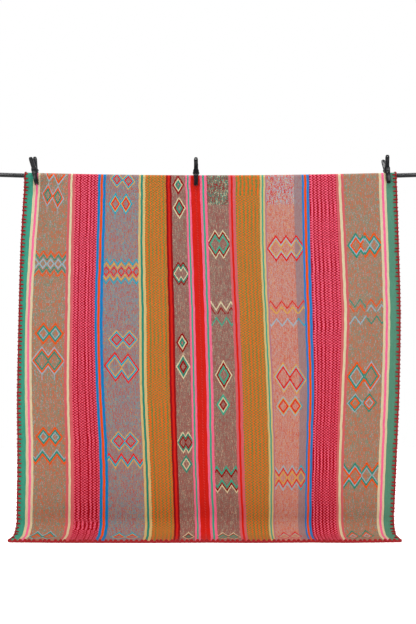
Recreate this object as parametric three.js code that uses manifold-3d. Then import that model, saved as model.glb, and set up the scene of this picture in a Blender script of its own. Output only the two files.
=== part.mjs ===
// A striped woven rug of two sewn panels, hung over a thin rod and held there by three spring clamps.
// Millimetres. +X runs along the rod to the viewer's right, +Y away from the viewer, +Z up.
// The origin is on the rod's axis at the middle of its span, and the floor lies below it.

import * as THREE from 'three';
import { mergeVertices } from 'three/addons/utils/BufferGeometryUtils.js';
import loadManifold from 'manifold-3d';

const wasm = await loadManifold();
wasm.setup();

// Rod
const ROD_DIAMETER = 19;
const ROD_LENGTH = 1960;
const ROD_BOW = 18; // rise of the rod's ends above its middle, under the rug's weight
const ROD_HEIGHT = 1490; // rod axis above the floor at mid span
const ROD_SIDES = 20;
const ROD_STEPS = 20;

// Cloth
const CLOTH_THICKNESS = 3;
const CLOTH_TO_ROD = 0.45; // clearance between the cloth and the rod
const PIECE_GAP = 0.3; // clearance between pieces that touch
const CLOTH_LEFT = -792;
const CLOTH_SEAM = -46;
const CLOTH_RIGHT = 782;
const FLAP_DROP = 285; // length of the flap behind the rod
const PANEL_COLUMNS = 11;
const GRIP_DROP = 120; // the rows of the cloth lie closer down to here, where the clamps grip
const GRIP_SPREAD = 1.6; // how the closer rows spread out on their way down
const FOLD_START = 110; // the folds begin this far below the rod
const FOLD_FULL = 900; // and are full from here down

// Yarn edging
const EDGING_WIDTH = 8;
const EDGING_HEIGHT = 6;

// Spring clamps
const PIVOT_HEIGHT = 22.5; // pivot pin above the rod's axis
const PIN_RADIUS = 2.2;
const PIN_HEAD_RADIUS = 4.2;
const PIN_HEAD_LENGTH = 1.6;
const LUG_RADIUS = 6.6;
const LUG_TOP = 12; // where the lug leaves its lever, above and below the pin
const LUG_BOTTOM = -5;
const LUG_OUT = 15;
const LUG_THICKNESS = 3.4;
const FRONT_LUG_INNER = 8.9; // the front lever's lugs stand outside those of the back lever
const BACK_LUG_INNER = 5.2;
const SPRING_OUTER_RADIUS = 6.4;
const SPRING_WIRE = 2.2;
const SPRING_TURNS = 4;
const SPRING_LEG_TOP = 42; // each leg of the spring presses on its handle below this height
const SPRING_LEG_CLEARANCE = 1;
const PAD_WIDTH = 16;
const PAD_TOP = 4;
const PAD_BOTTOM = -32;

// Where a pitched clamp presses the cloth back below the rod
const PRESS_FLAT = 16; // half width that is pressed evenly
const PRESS_FADE = 70; // half width where the pressing ends
const PRESS_DEPTH = 42; // depth below the rod of the jaw's end
const PRESS_END = 420; // depth where the cloth hangs freely again
const PRESS_SLACK = 0.3;
const PRESS_COLUMNS = [-31, -PRESS_FLAT, PRESS_FLAT, 43, PRESS_FADE];

// Middle of the rug's thickness where it passes over the rod
const TURN_RADIUS = ROD_DIAMETER / 2 + CLOTH_TO_ROD + CLOTH_THICKNESS / 2;
const FLOOR = -ROD_HEIGHT;

// Places of some warp threads across the rug, and how they lie at the floor:
// the radius of the bend there and the reach of the hem in front of the rod
const THREADS = [
  { name: 'edgeLeft', at: -801, bend: 62, reach: 164 },
  { name: 'creamLeft', at: -589, bend: 76, reach: 172 },
  { name: 'greenLeft', at: -276, bend: 66, reach: 175 },
  { name: 'seam', at: -46, bend: 80, reach: 169 },
  { name: 'redRight', at: 115, bend: 70, reach: 174 },
  { name: 'orangeRight', at: 413, bend: 64, reach: 168 },
  { name: 'creamRight', at: 556, bend: 74, reach: 173 },
  { name: 'edgeRight', at: 791, bend: 66, reach: 161 },
];

// Sideways wander of those threads at several drops below the rod
const WANDER = [
  {
    drop: 0,
    edgeLeft: 9, creamLeft: 2, greenLeft: -8, seam: -18,
    redRight: -20, orangeRight: -5, creamRight: -2, edgeRight: 7,
  },
  {
    drop: 300,
    edgeLeft: 1, creamLeft: -1, greenLeft: -11, seam: -11,
    redRight: -16, orangeRight: -5, creamRight: 8, edgeRight: 8,
  },
  {
    drop: 600,
    edgeLeft: -1, creamLeft: -4, greenLeft: -5, seam: -2,
    redRight: -5, orangeRight: 3, creamRight: 17, edgeRight: 12,
  },
  {
    drop: 900,
    edgeLeft: -6, creamLeft: -6, greenLeft: 0, seam: 6,
    redRight: 6, orangeRight: 6, creamRight: 2, edgeRight: 2,
  },
  {
    drop: 1200,
    edgeLeft: -2, creamLeft: 5, greenLeft: 13, seam: 13,
    redRight: 13, orangeRight: -2, creamRight: -13, edgeRight: -18,
  },
  {
    drop: 1490,
    edgeLeft: 3, creamLeft: 10, greenLeft: 23, seam: 19,
    redRight: 23, orangeRight: -6, creamRight: -18, edgeRight: -30,
  },
];

// Soft folds of the hanging front: place across, half width, depth towards the viewer,
// and how far the fold drifts sideways on its way down
const FOLDS = [
  { at: -760, halfWidth: 120, depth: 9, drift: 20 },
  { at: -560, halfWidth: 150, depth: -5, drift: 30 },
  { at: -330, halfWidth: 140, depth: 6, drift: -20 },
  { at: -90, halfWidth: 160, depth: -6, drift: 40 },
  { at: 150, halfWidth: 150, depth: 7, drift: 10 },
  { at: 380, halfWidth: 130, depth: -5, drift: -30 },
  { at: 590, halfWidth: 140, depth: 6, drift: -40 },
  { at: 770, halfWidth: 110, depth: -8, drift: -20 },
];

// Stretches of the cloth, from the hem of the hidden flap to the hem on the floor
const STRETCHES = [
  { name: 'flap', steps: 3 },
  { name: 'over', steps: 10 },
  { name: 'grip', steps: 9 },
  { name: 'drop', steps: 11 },
  { name: 'bend', steps: 6 },
  { name: 'floor', steps: 2 },
];

// One lever of a spring clamp, from the tip of its handle to the end of its jaw:
// height above the rod's axis, distance out from the clamp's middle, and the section's size.
// lugWidth is the width of the front lever, which widens to carry the outer lugs.
const LEVER_SECTIONS = [
  { height: 80, out: 41.5, width: 9, lugWidth: 9, thick: 5 },
  { height: 77.5, out: 40.4, width: 14, lugWidth: 14, thick: 8 },
  { height: 70, out: 37, width: 17, lugWidth: 17, thick: 9 },
  { height: 51, out: 27, width: 17, lugWidth: 17, thick: 9 },
  { height: 37.5, out: 19, width: 17, lugWidth: 18, thick: 9.5 },
  { height: 30.5, out: 15.5, width: 17, lugWidth: 24.6, thick: 9.5 },
  { height: 20.5, out: 14, width: 17, lugWidth: 24.6, thick: 9.5 },
  { height: 11, out: 17.5, width: 17, lugWidth: 22, thick: 8.5 },
  { height: 0, out: 22, width: 17.5, lugWidth: 17.5, thick: 7.5 },
  { height: -14, out: 23, width: 17.5, lugWidth: 17.5, thick: 7 },
  { height: -27, out: 21.5, width: 17, lugWidth: 17, thick: 6.5 },
  { height: -36, out: 18.5, width: 15.5, lugWidth: 15.5, thick: 5.5 },
];
const LEVER_CHAMFER = 0.24; // corner cut as a share of the section's thickness
const TIP_HOLE = { height: 73.5, radius: 2.2 };
const HANDLE_RECESS = { top: 66, bottom: 42, width: 9, depth: 1.8, steps: 3 };
const JAW_NOTCH = { width: 5, height: 7 };
const FACE_BOSS = { height: 6, radius: 5, length: 1.4, hole: 2.3 };

// Places of the clamps along the rod, their lean in the plane of the rug,
// and their pitch round the rod towards the viewer
const CLAMPS = [
  { name: 'left', at: -741, lean: -8, pitch: 16 },
  { name: 'middle', at: -58, lean: 0, pitch: 0 },
  { name: 'right', at: 757, lean: -4.5, pitch: 0 },
];

// Colours and finishes
const cloth = (color) => new THREE.MeshStandardMaterial({ color, roughness: 0.95, metalness: 0 });
const yarn = () => new THREE.MeshStandardMaterial({ color: 0x960a0f, roughness: 0.9, metalness: 0 });
const blackPaint = () => new THREE.MeshStandardMaterial({ color: 0x0c0c0e, roughness: 0.35, metalness: 0 });
const blackNylon = () => new THREE.MeshStandardMaterial({ color: 0x121214, roughness: 0.5, metalness: 0 });
const padRubber = () => new THREE.MeshStandardMaterial({ color: 0x1a1a1b, roughness: 0.8, metalness: 0 });
const steel = () => new THREE.MeshStandardMaterial({ color: 0x85878a, roughness: 0.35, metalness: 1 });

const group = new THREE.Group();

function addPiece(parent, name, geometry, material) {
  const mesh = new THREE.Mesh(geometry, material);
  mesh.name = name;
  parent.add(mesh);
}

// Numbers and tables

function ease(low, high, value) {
  return THREE.MathUtils.smoothstep(value, low, high);
}

// Finds the two neighbouring rows of a table that a value lies between, and its share of the way.
function between(rows, key, value) {
  let index = 0;
  while (index < rows.length - 2 && value > rows[index + 1][key]) {
    index += 1;
  }
  const low = rows[index];
  const high = rows[index + 1];
  const share = (value - low[key]) / (high[key] - low[key]);
  return { low, high, share };
}

function threadValue(across, key) {
  const { low, high, share } = between(THREADS, 'at', across);
  return THREE.MathUtils.lerp(low[key], high[key], share);
}

function wander(across, drop) {
  const threads = between(THREADS, 'at', across);
  const heights = between(WANDER, 'drop', THREE.MathUtils.clamp(drop, 0, ROD_HEIGHT));
  const down = ease(0, 1, heights.share);
  const atThread = (name) => THREE.MathUtils.lerp(heights.low[name], heights.high[name], down);
  return THREE.MathUtils.lerp(atThread(threads.low.name), atThread(threads.high.name), threads.share);
}

function foldDepth(across, drop) {
  let depth = 0;
  for (const fold of FOLDS) {
    const middle = fold.at + fold.drift * (drop / ROD_HEIGHT);
    const share = Math.abs(across - middle) / fold.halfWidth;
    if (share < 1) {
      depth += fold.depth * Math.cos(share * Math.PI / 2) ** 2;
    }
  }
  return depth * ease(FOLD_START, FOLD_FULL, drop);
}

// How far the pitched clamps press the cloth back, at a depth below the rod's axis
function pressed(x, depth) {
  let inwards = 0;
  for (const { at, pitch } of CLAMPS) {
    const near = 1 - ease(PRESS_FLAT, PRESS_FADE, Math.abs(x - at));
    const slope = Math.tan(THREE.MathUtils.degToRad(pitch));
    const push = Math.max(slope * Math.min(depth, PRESS_DEPTH) - PRESS_SLACK, 0);
    inwards += near * push * (1 - ease(PRESS_DEPTH, PRESS_END, depth));
  }
  return inwards;
}

function rodRise(x) {
  return ROD_BOW * (x / (ROD_LENGTH / 2)) ** 2;
}

// The cloth's middle surface

function clothRows() {
  const rows = [{ stretch: STRETCHES[0].name, share: 0 }];
  for (const { name, steps } of STRETCHES) {
    for (let step = 1; step <= steps; step += 1) {
      rows.push({ stretch: name, share: step / steps });
    }
  }
  return rows;
}

function clothPoint(across, { stretch, share }) {
  const topX = across + wander(across, 0);
  const rise = rodRise(topX);
  if (stretch === 'flap') {
    return new THREE.Vector3(topX, TURN_RADIUS, rise - FLAP_DROP * (1 - share));
  }
  if (stretch === 'over') {
    const turn = Math.PI * share;
    return new THREE.Vector3(topX, TURN_RADIUS * Math.cos(turn), rise + TURN_RADIUS * Math.sin(turn));
  }
  const bend = threadValue(across, 'bend');
  const lying = FLOOR + CLOTH_THICKNESS / 2;
  const bendTop = lying + bend;
  if (stretch === 'grip' || stretch === 'drop') {
    const gripEnd = rise - GRIP_DROP;
    const gripped = rise - GRIP_DROP * share ** GRIP_SPREAD;
    const z = stretch === 'grip' ? gripped : THREE.MathUtils.lerp(gripEnd, bendTop, share);
    const x = across + wander(across, -z);
    const y = -TURN_RADIUS - foldDepth(across, -z) + pressed(topX, rise - z);
    return new THREE.Vector3(x, y, z);
  }
  const x = across + wander(across, ROD_HEIGHT);
  const reach = threadValue(across, 'reach');
  const hanging = -TURN_RADIUS - foldDepth(across, -bendTop);
  if (stretch === 'bend') {
    const turn = (Math.PI / 2) * share;
    const bendX = THREE.MathUtils.lerp(across + wander(across, -bendTop), x, share);
    const y = hanging - bend * (1 - Math.cos(turn));
    return new THREE.Vector3(bendX, y, bendTop - bend * Math.sin(turn));
  }
  return new THREE.Vector3(x, THREE.MathUtils.lerp(hanging - bend, -reach, share), lying);
}

// A grid of frames on the cloth: the point, the directions across and along, and the outer normal.
function clothFrames(columns) {
  const rows = clothRows();
  const points = rows.map((row) => columns.map((across) => clothPoint(across, row)));
  const direction = (from, to) => to.clone().sub(from).normalize();
  const alongAt = (i, j) => {
    const before = points[Math.max(i - 1, 0)][j];
    const here = points[i][j];
    const after = points[Math.min(i + 1, rows.length - 1)][j];
    return direction(before, here).add(direction(here, after)).normalize();
  };
  const acrossAt = (i, j) => {
    const last = columns.length - 1;
    return direction(points[i][Math.max(j - 1, 0)], points[i][Math.min(j + 1, last)]);
  };
  return rows.map((row, i) => columns.map((column, j) => {
    const along = alongAt(i, j);
    const normal = along.clone().cross(acrossAt(i, j)).normalize();
    const across = normal.clone().cross(along);
    return { point: points[i][j], along, across, normal };
  }));
}

function evenly(from, to, steps) {
  return Array.from({ length: steps + 1 }, (unused, step) => THREE.MathUtils.lerp(from, to, step / steps));
}

// Even columns across a panel, with closer ones where a pitched clamp presses the cloth.
function panelColumns(from, to) {
  const columns = evenly(from, to, PANEL_COLUMNS);
  for (const { at, pitch } of CLAMPS) {
    const middle = at - wander(at, 0);
    if (pitch !== 0 && middle > from && middle < to) {
      columns.push(...PRESS_COLUMNS.map((offset) => middle + offset));
    }
  }
  return columns.sort((a, b) => a - b);
}

// Closed solids

function solidFrom(vertices, triangles) {
  const geometry = new THREE.BufferGeometry();
  geometry.setAttribute('position', new THREE.Float32BufferAttribute(vertices, 3));
  geometry.setIndex(triangles);
  geometry.computeVertexNormals();
  return geometry;
}

// Joins rings of points into a closed skin. capFaces lists the triangles that close the first ring.
function loft(rings, capFaces) {
  const size = rings[0].length;
  const vertices = rings.flat().flatMap((point) => [point.x, point.y, point.z]);
  const triangles = [];
  for (let ring = 0; ring < rings.length - 1; ring += 1) {
    for (let k = 0; k < size; k += 1) {
      const next = (k + 1) % size;
      const here = ring * size;
      const beyond = here + size;
      triangles.push(here + k, beyond + k, beyond + next);
      triangles.push(here + k, beyond + next, here + next);
    }
  }
  const last = (rings.length - 1) * size;
  for (const [a, b, c] of capFaces) {
    triangles.push(a, b, c);
    triangles.push(last + a, last + c, last + b);
  }
  return solidFrom(vertices, triangles);
}

// Closes a convex ring with a fan of triangles.
function fanCap(size) {
  return Array.from({ length: size - 2 }, (unused, k) => [0, k + 1, k + 2]);
}

// A bar of convex section along a row of frames. Each frame has a point, side and up directions
// and a section, which is a list of offsets [side, up] that turns from side towards minus up.
function bar(frames) {
  const rings = frames.map(({ point, side, up, section }) => section.map(
    ([s, u]) => point.clone().addScaledVector(side, s).addScaledVector(up, u),
  ));
  return loft(rings, fanCap(rings[0].length));
}

// An oblong section with its corners cut off.
function oblong(width, height, cut) {
  const w = width / 2;
  const h = height / 2;
  return [
    [-w, -h + cut], [-w, h - cut], [-w + cut, h], [w - cut, h],
    [w, h - cut], [w, -h + cut], [w - cut, -h], [-w + cut, -h],
  ];
}

function toManifold(geometry) {
  const bare = geometry.clone();
  bare.deleteAttribute('normal');
  bare.deleteAttribute('uv');
  const merged = mergeVertices(bare);
  return new wasm.Manifold(new wasm.Mesh({
    numProp: 3,
    vertProperties: new Float32Array(merged.attributes.position.array),
    triVerts: new Uint32Array(merged.index.array),
  }));
}

function fromManifold(solid) {
  const mesh = solid.getMesh();
  return solidFrom(Array.from(mesh.vertProperties), Array.from(mesh.triVerts));
}

// Woven panels

function panel(from, to) {
  const half = CLOTH_THICKNESS / 2;
  const columns = panelColumns(from, to);
  const rings = clothFrames(columns).map((row) => {
    const outer = row.map(({ point, normal }) => point.clone().addScaledVector(normal, half));
    const inner = row.map(({ point, normal }) => point.clone().addScaledVector(normal, -half));
    return [...outer, ...inner.reverse()];
  });
  const size = rings[0].length;
  const caps = [];
  for (let j = 0; j < columns.length - 1; j += 1) {
    caps.push([j, j + 1, size - 2 - j], [j, size - 2 - j, size - 1 - j]);
  }
  return loft(rings, caps);
}

// Yarn edging, flush with the cloth's inner face so that it clears the rod and lies on the floor

const EDGING_SECTION = oblong(EDGING_WIDTH, EDGING_HEIGHT, EDGING_WIDTH / 4);
const EDGING_LIFT = (EDGING_HEIGHT - CLOTH_THICKNESS) / 2;
const EDGING_SHIFT = PIECE_GAP + EDGING_WIDTH / 2; // from the cloth's edge to the middle of the yarn

function sideEdging(edge, inner, outwards) {
  const columns = outwards < 0 ? [edge, inner] : [inner, edge];
  const column = outwards < 0 ? 0 : 1;
  return bar(clothFrames(columns).map((row) => {
    const { point, across, normal } = row[column];
    const middle = point.clone()
      .addScaledVector(across, outwards * EDGING_SHIFT)
      .addScaledVector(normal, EDGING_LIFT);
    return { point: middle, side: across, up: normal, section: EDGING_SECTION };
  }));
}

function endEdging(rowIndex, outwards) {
  const columns = [
    ...panelColumns(CLOTH_LEFT, CLOTH_SEAM),
    ...panelColumns(CLOTH_SEAM, CLOTH_RIGHT).slice(1),
  ];
  const row = clothFrames(columns).at(rowIndex);
  const frames = row.map(({ point, along, normal }) => ({
    point: point.clone()
      .addScaledVector(along, outwards * EDGING_SHIFT)
      .addScaledVector(normal, EDGING_LIFT),
    side: along.clone().negate(),
    up: normal,
    section: EDGING_SECTION,
  }));
  const corner = PIECE_GAP + EDGING_WIDTH;
  const first = row[0];
  const last = row.at(-1);
  frames.unshift({ ...frames[0], point: frames[0].point.clone().addScaledVector(first.across, -corner) });
  frames.push({ ...frames.at(-1), point: frames.at(-1).point.clone().addScaledVector(last.across, corner) });
  return bar(frames);
}

// Rod

function rod() {
  const circle = Array.from({ length: ROD_SIDES }, (unused, k) => {
    const turn = -(2 * Math.PI * k) / ROD_SIDES;
    return [ROD_DIAMETER / 2 * Math.cos(turn), ROD_DIAMETER / 2 * Math.sin(turn)];
  });
  const places = evenly(-ROD_LENGTH / 2, ROD_LENGTH / 2, ROD_STEPS);
  return bar(places.map((x) => ({
    point: new THREE.Vector3(x, 0, rodRise(x)),
    side: new THREE.Vector3(0, 1, 0),
    up: new THREE.Vector3(0, 0, 1),
    section: circle,
  })));
}

// Spring clamp. Facing is -1 for the lever towards the viewer and 1 for the one behind.

function leverFrame(index, facing, widthKey) {
  const section = LEVER_SECTIONS[index];
  const place = (row) => new THREE.Vector3(0, facing * row.out, row.height);
  const before = place(LEVER_SECTIONS[Math.max(index - 1, 0)]);
  const after = place(LEVER_SECTIONS[Math.min(index + 1, LEVER_SECTIONS.length - 1)]);
  const along = after.sub(before).normalize();
  const side = new THREE.Vector3(-facing, 0, 0);
  const up = along.clone().cross(side);
  return {
    point: place(section),
    side,
    up,
    thick: section.thick,
    section: oblong(section[widthKey], section.thick, section.thick * LEVER_CHAMFER),
  };
}

// The frame on a lever's middle line at any height.
function leverFrameAt(height, facing) {
  const rising = LEVER_SECTIONS.map((row, index) => ({ ...row, index })).reverse();
  const { low, high, share } = between(rising, 'height', height);
  const from = leverFrame(low.index, facing, 'width');
  const to = leverFrame(high.index, facing, 'width');
  return {
    point: from.point.lerp(to.point, share),
    side: from.side,
    up: from.up.lerp(to.up, share).normalize(),
    thick: THREE.MathUtils.lerp(from.thick, to.thick, share),
  };
}

// Distance from the clamp's middle plane to a lever's inner face at a section's height.
function innerFace(height) {
  const frame = leverFrameAt(height, 1);
  return frame.point.y - frame.thick / 2 / Math.abs(frame.up.y);
}

// Stands a shape drawn with its first axis along Y and its second along Z, with its depth along X.
function standAcross(geometry, fromX) {
  const turn = new THREE.Matrix4().makeBasis(
    new THREE.Vector3(0, 1, 0),
    new THREE.Vector3(0, 0, 1),
    new THREE.Vector3(1, 0, 0),
  );
  return geometry.applyMatrix4(turn).translate(fromX, 0, 0);
}

function lug(facing, fromX) {
  const shape = new THREE.Shape();
  shape.moveTo(facing * LUG_OUT, PIVOT_HEIGHT + LUG_TOP);
  shape.absarc(0, PIVOT_HEIGHT, LUG_RADIUS, Math.PI / 2, -Math.PI / 2, facing < 0);
  shape.lineTo(facing * LUG_OUT, PIVOT_HEIGHT + LUG_BOTTOM);
  shape.closePath();
  const hole = new THREE.Path();
  hole.absarc(0, PIVOT_HEIGHT, PIN_RADIUS + PIECE_GAP, 0, 2 * Math.PI, facing > 0);
  shape.holes.push(hole);
  const plate = { depth: LUG_THICKNESS, bevelEnabled: false, curveSegments: 6 };
  return standAcross(new THREE.ExtrudeGeometry(shape, plate), fromX);
}

// A plug along a lever's outward direction, centred on its middle line and pushed outwards.
function plugAt(height, facing, radius, length, push) {
  const { point, up } = leverFrameAt(height, facing);
  const plug = new THREE.CylinderGeometry(radius, radius, length, 12);
  const turn = new THREE.Quaternion().setFromUnitVectors(new THREE.Vector3(0, 1, 0), up);
  plug.applyQuaternion(turn);
  const middle = point.addScaledVector(up, push);
  return plug.translate(middle.x, middle.y, middle.z);
}

function handleRecess(facing) {
  const { top, bottom, width, depth, steps } = HANDLE_RECESS;
  return bar(evenly(top, bottom, steps).map((height) => {
    const { point, side, up, thick } = leverFrameAt(height, facing);
    const section = oblong(width, 2 * depth, depth * 0.5);
    return { point: point.addScaledVector(up, thick / 2), side, up, section };
  }));
}

function jawNotch(facing) {
  const jawEnd = LEVER_SECTIONS.at(-1);
  const notch = new THREE.BoxGeometry(JAW_NOTCH.width, 3 * jawEnd.thick, 2 * JAW_NOTCH.height);
  return notch.translate(0, facing * jawEnd.out, jawEnd.height);
}

function lever(facing) {
  const widthKey = facing < 0 ? 'lugWidth' : 'width';
  const lugInner = facing < 0 ? FRONT_LUG_INNER : BACK_LUG_INNER;
  const boss = leverFrameAt(FACE_BOSS.height, facing);
  let solid = toManifold(bar(LEVER_SECTIONS.map((unused, index) => leverFrame(index, facing, widthKey))));
  for (const fromX of [lugInner, -lugInner - LUG_THICKNESS]) {
    solid = solid.add(toManifold(lug(facing, fromX)));
  }
  solid = solid.add(toManifold(plugAt(
    FACE_BOSS.height, facing, FACE_BOSS.radius, 2 * FACE_BOSS.length, boss.thick / 2,
  )));
  solid = solid.subtract(toManifold(plugAt(
    FACE_BOSS.height, facing, FACE_BOSS.hole, 4 * FACE_BOSS.length, boss.thick / 2 + FACE_BOSS.length,
  )));
  solid = solid.subtract(toManifold(plugAt(TIP_HOLE.height, facing, TIP_HOLE.radius, 20, 0)));
  solid = solid.subtract(toManifold(handleRecess(facing)));
  solid = solid.subtract(toManifold(jawNotch(facing)));
  return fromManifold(solid);
}

function turnedAlongX(profile, sides) {
  const points = profile.map(([radius, place]) => new THREE.Vector2(radius, place));
  return new THREE.LatheGeometry(points, sides).rotateZ(-Math.PI / 2).translate(0, 0, PIVOT_HEIGHT);
}

function pivotPin() {
  const neck = FRONT_LUG_INNER + LUG_THICKNESS + PIECE_GAP;
  const end = neck + PIN_HEAD_LENGTH;
  return turnedAlongX([
    [0, -end], [PIN_HEAD_RADIUS, -end], [PIN_HEAD_RADIUS, -neck], [PIN_RADIUS, -neck],
    [PIN_RADIUS, neck], [PIN_HEAD_RADIUS, neck], [PIN_HEAD_RADIUS, end], [0, end],
  ], 12);
}

// The coil as a ridged ring on the pin, with one straight leg along the inside of each handle.
function spring() {
  const half = BACK_LUG_INNER - PIECE_GAP;
  const turnLength = 2 * half / SPRING_TURNS;
  const groove = SPRING_OUTER_RADIUS - SPRING_WIRE / 2;
  const bore = PIN_RADIUS + PIECE_GAP;
  const profile = [[bore, -half]];
  for (let turn = 0; turn < SPRING_TURNS; turn += 1) {
    profile.push([groove, -half + turn * turnLength]);
    profile.push([SPRING_OUTER_RADIUS, -half + (turn + 0.5) * turnLength]);
  }
  profile.push([groove, half], [bore, half], [bore, -half]);
  let solid = toManifold(turnedAlongX(profile, 14));
  for (const facing of [-1, 1]) {
    const legX = -facing * (half - SPRING_WIRE / 2);
    const coilMiddle = facing * (SPRING_OUTER_RADIUS - SPRING_WIRE / 2);
    const handle = leverFrameAt(SPRING_LEG_TOP, facing);
    const inwards = handle.thick / 2 + SPRING_WIRE / 2 + SPRING_LEG_CLEARANCE;
    const rest = handle.point.addScaledVector(handle.up, -inwards);
    const side = new THREE.Vector3(-facing, 0, 0);
    const ends = [new THREE.Vector3(legX, rest.y, rest.z), new THREE.Vector3(legX, coilMiddle, PIVOT_HEIGHT)];
    const along = ends[1].clone().sub(ends[0]).normalize();
    const up = along.clone().cross(side);
    const section = oblong(SPRING_WIRE, SPRING_WIRE, SPRING_WIRE * 0.3);
    solid = solid.add(toManifold(bar(ends.map((point) => ({ point, side, up, section })))));
  }
  return fromManifold(solid);
}

// A jaw pad fills the space between the cloth and the lever's inner face.
function jawPad(facing) {
  const clothFace = TURN_RADIUS + CLOTH_THICKNESS / 2 + PIECE_GAP;
  const shape = new THREE.Shape();
  shape.moveTo(facing * clothFace, PAD_BOTTOM);
  for (const height of evenly(PAD_BOTTOM, PAD_TOP, 5)) {
    shape.lineTo(facing * (innerFace(height) - PIECE_GAP), height);
  }
  shape.lineTo(facing * clothFace, PAD_TOP);
  shape.closePath();
  const plate = { depth: PAD_WIDTH, bevelEnabled: false };
  return standAcross(new THREE.ExtrudeGeometry(shape, plate), -PAD_WIDTH / 2);
}

function addClamp({ name, at, lean, pitch }) {
  const clamp = new THREE.Group();
  clamp.position.set(at, 0, rodRise(at));
  clamp.rotation.set(THREE.MathUtils.degToRad(pitch), THREE.MathUtils.degToRad(lean), 0);
  addPiece(clamp, `clamp_${name}_front_lever`, lever(-1), blackNylon());
  addPiece(clamp, `clamp_${name}_back_lever`, lever(1), blackNylon());
  addPiece(clamp, `clamp_${name}_pin`, pivotPin(), steel());
  addPiece(clamp, `clamp_${name}_spring`, spring(), steel());
  addPiece(clamp, `clamp_${name}_front_pad`, jawPad(-1), padRubber());
  addPiece(clamp, `clamp_${name}_back_pad`, jawPad(1), padRubber());
  group.add(clamp);
}

// The whole part

addPiece(group, 'panel_left', panel(CLOTH_LEFT, CLOTH_SEAM - PIECE_GAP / 2), cloth(0xa8866e));
addPiece(group, 'panel_right', panel(CLOTH_SEAM + PIECE_GAP / 2, CLOTH_RIGHT), cloth(0xca887c));
addPiece(group, 'edging_left', sideEdging(CLOTH_LEFT, CLOTH_LEFT + EDGING_WIDTH, -1), yarn());
addPiece(group, 'edging_right', sideEdging(CLOTH_RIGHT, CLOTH_RIGHT - EDGING_WIDTH, 1), yarn());
addPiece(group, 'edging_front', endEdging(-1, 1), yarn());
addPiece(group, 'edging_back', endEdging(0, -1), yarn());
addPiece(group, 'rod', rod(), blackPaint());
CLAMPS.forEach(addClamp);

export default group;
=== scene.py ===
"""Dresses a striped woven rug that hangs over a thin rod under three spring clamps."""

import logging
import math
from dataclasses import dataclass, field
from enum import Enum
from typing import Any

import bpy
import numpy as np
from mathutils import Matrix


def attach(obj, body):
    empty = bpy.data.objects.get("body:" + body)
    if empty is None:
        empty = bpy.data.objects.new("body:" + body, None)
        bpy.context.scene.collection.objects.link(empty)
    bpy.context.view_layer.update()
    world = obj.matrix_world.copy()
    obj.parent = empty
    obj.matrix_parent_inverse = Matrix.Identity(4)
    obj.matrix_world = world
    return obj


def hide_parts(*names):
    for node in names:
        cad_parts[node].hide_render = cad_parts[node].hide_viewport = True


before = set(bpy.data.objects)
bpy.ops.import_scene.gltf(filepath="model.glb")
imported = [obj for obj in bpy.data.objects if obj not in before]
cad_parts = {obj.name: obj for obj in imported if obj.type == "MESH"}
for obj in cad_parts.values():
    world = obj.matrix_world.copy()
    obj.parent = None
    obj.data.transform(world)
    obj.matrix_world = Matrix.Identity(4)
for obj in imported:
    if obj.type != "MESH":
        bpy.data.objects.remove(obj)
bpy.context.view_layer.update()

LOG = logging.getLogger("rug")

BODY = "root"
MM = 0.001
FLOOR = -1490.0  # millimetres below the rod's axis
FLAT_MAP = "Flat"

Number = float | int
Colour = tuple[float, float, float, float]


# Colours


def linear(red: int, green: int, blue: int) -> Colour:
    """Turns a colour seen on a screen into the shader's linear scale.

    Args:
        red: Red from 0 to 255.
        green: Green from 0 to 255.
        blue: Blue from 0 to 255.

    Returns:
        The three linear shares and full cover.
    """
    shares = (value / 255 for value in (red, green, blue))
    return (*(s / 12.92 if s <= 0.04045 else ((s + 0.055) / 1.055) ** 2.4 for s in shares), 1.0)


class Yarn(Enum):
    """The dyed yarns of the rug, as they look in flat light."""

    GREEN = linear(64, 162, 136)
    PALE_GREEN = linear(88, 147, 122)
    TEAL = linear(40, 138, 118)
    MINT = linear(52, 166, 138)
    CREAM = linear(222, 210, 170)
    STRAW = linear(216, 188, 124)
    HOT_PINK = linear(252, 112, 160)
    PINK = linear(248, 110, 146)
    SALMON = linear(214, 99, 105)
    MAUVE = linear(176, 120, 136)
    ROSE = linear(255, 104, 134)
    CRIMSON = linear(164, 8, 28)
    BLUE = linear(24, 126, 190)
    SKY = linear(46, 124, 195)
    LIGHT_BLUE = linear(150, 182, 194)
    TURQUOISE = linear(0, 164, 188)
    ORANGE = linear(232, 85, 12)
    AMBER = linear(231, 104, 33)
    OLIVE = linear(114, 132, 64)
    GOLD = linear(218, 168, 74)
    RED = linear(214, 32, 20)
    SCARLET = linear(220, 40, 36)
    DARK_RED = linear(146, 10, 18)
    BROWN = linear(172, 137, 113)
    GREY = linear(146, 129, 120)
    TAUPE = linear(165, 111, 103)
    CORAL = linear(207, 134, 108)
    ASH = linear(148, 126, 130)

    @property
    def weight(self) -> float:
        """How broad the yarn's line is in a lozenge; the pale yarns lie thin."""
        return 0.7 if self in (Yarn.CREAM, Yarn.LIGHT_BLUE, Yarn.GOLD) else 1.15


# Letters for the yarns of the fields and lozenges
SPUN = {
    "C": Yarn.CREAM, "D": Yarn.DARK_RED, "G": Yarn.GOLD, "L": Yarn.LIGHT_BLUE, "M": Yarn.MINT,
    "O": Yarn.ORANGE, "S": Yarn.SCARLET, "T": Yarn.TEAL, "U": Yarn.TURQUOISE,
}


# Shader expressions


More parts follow.
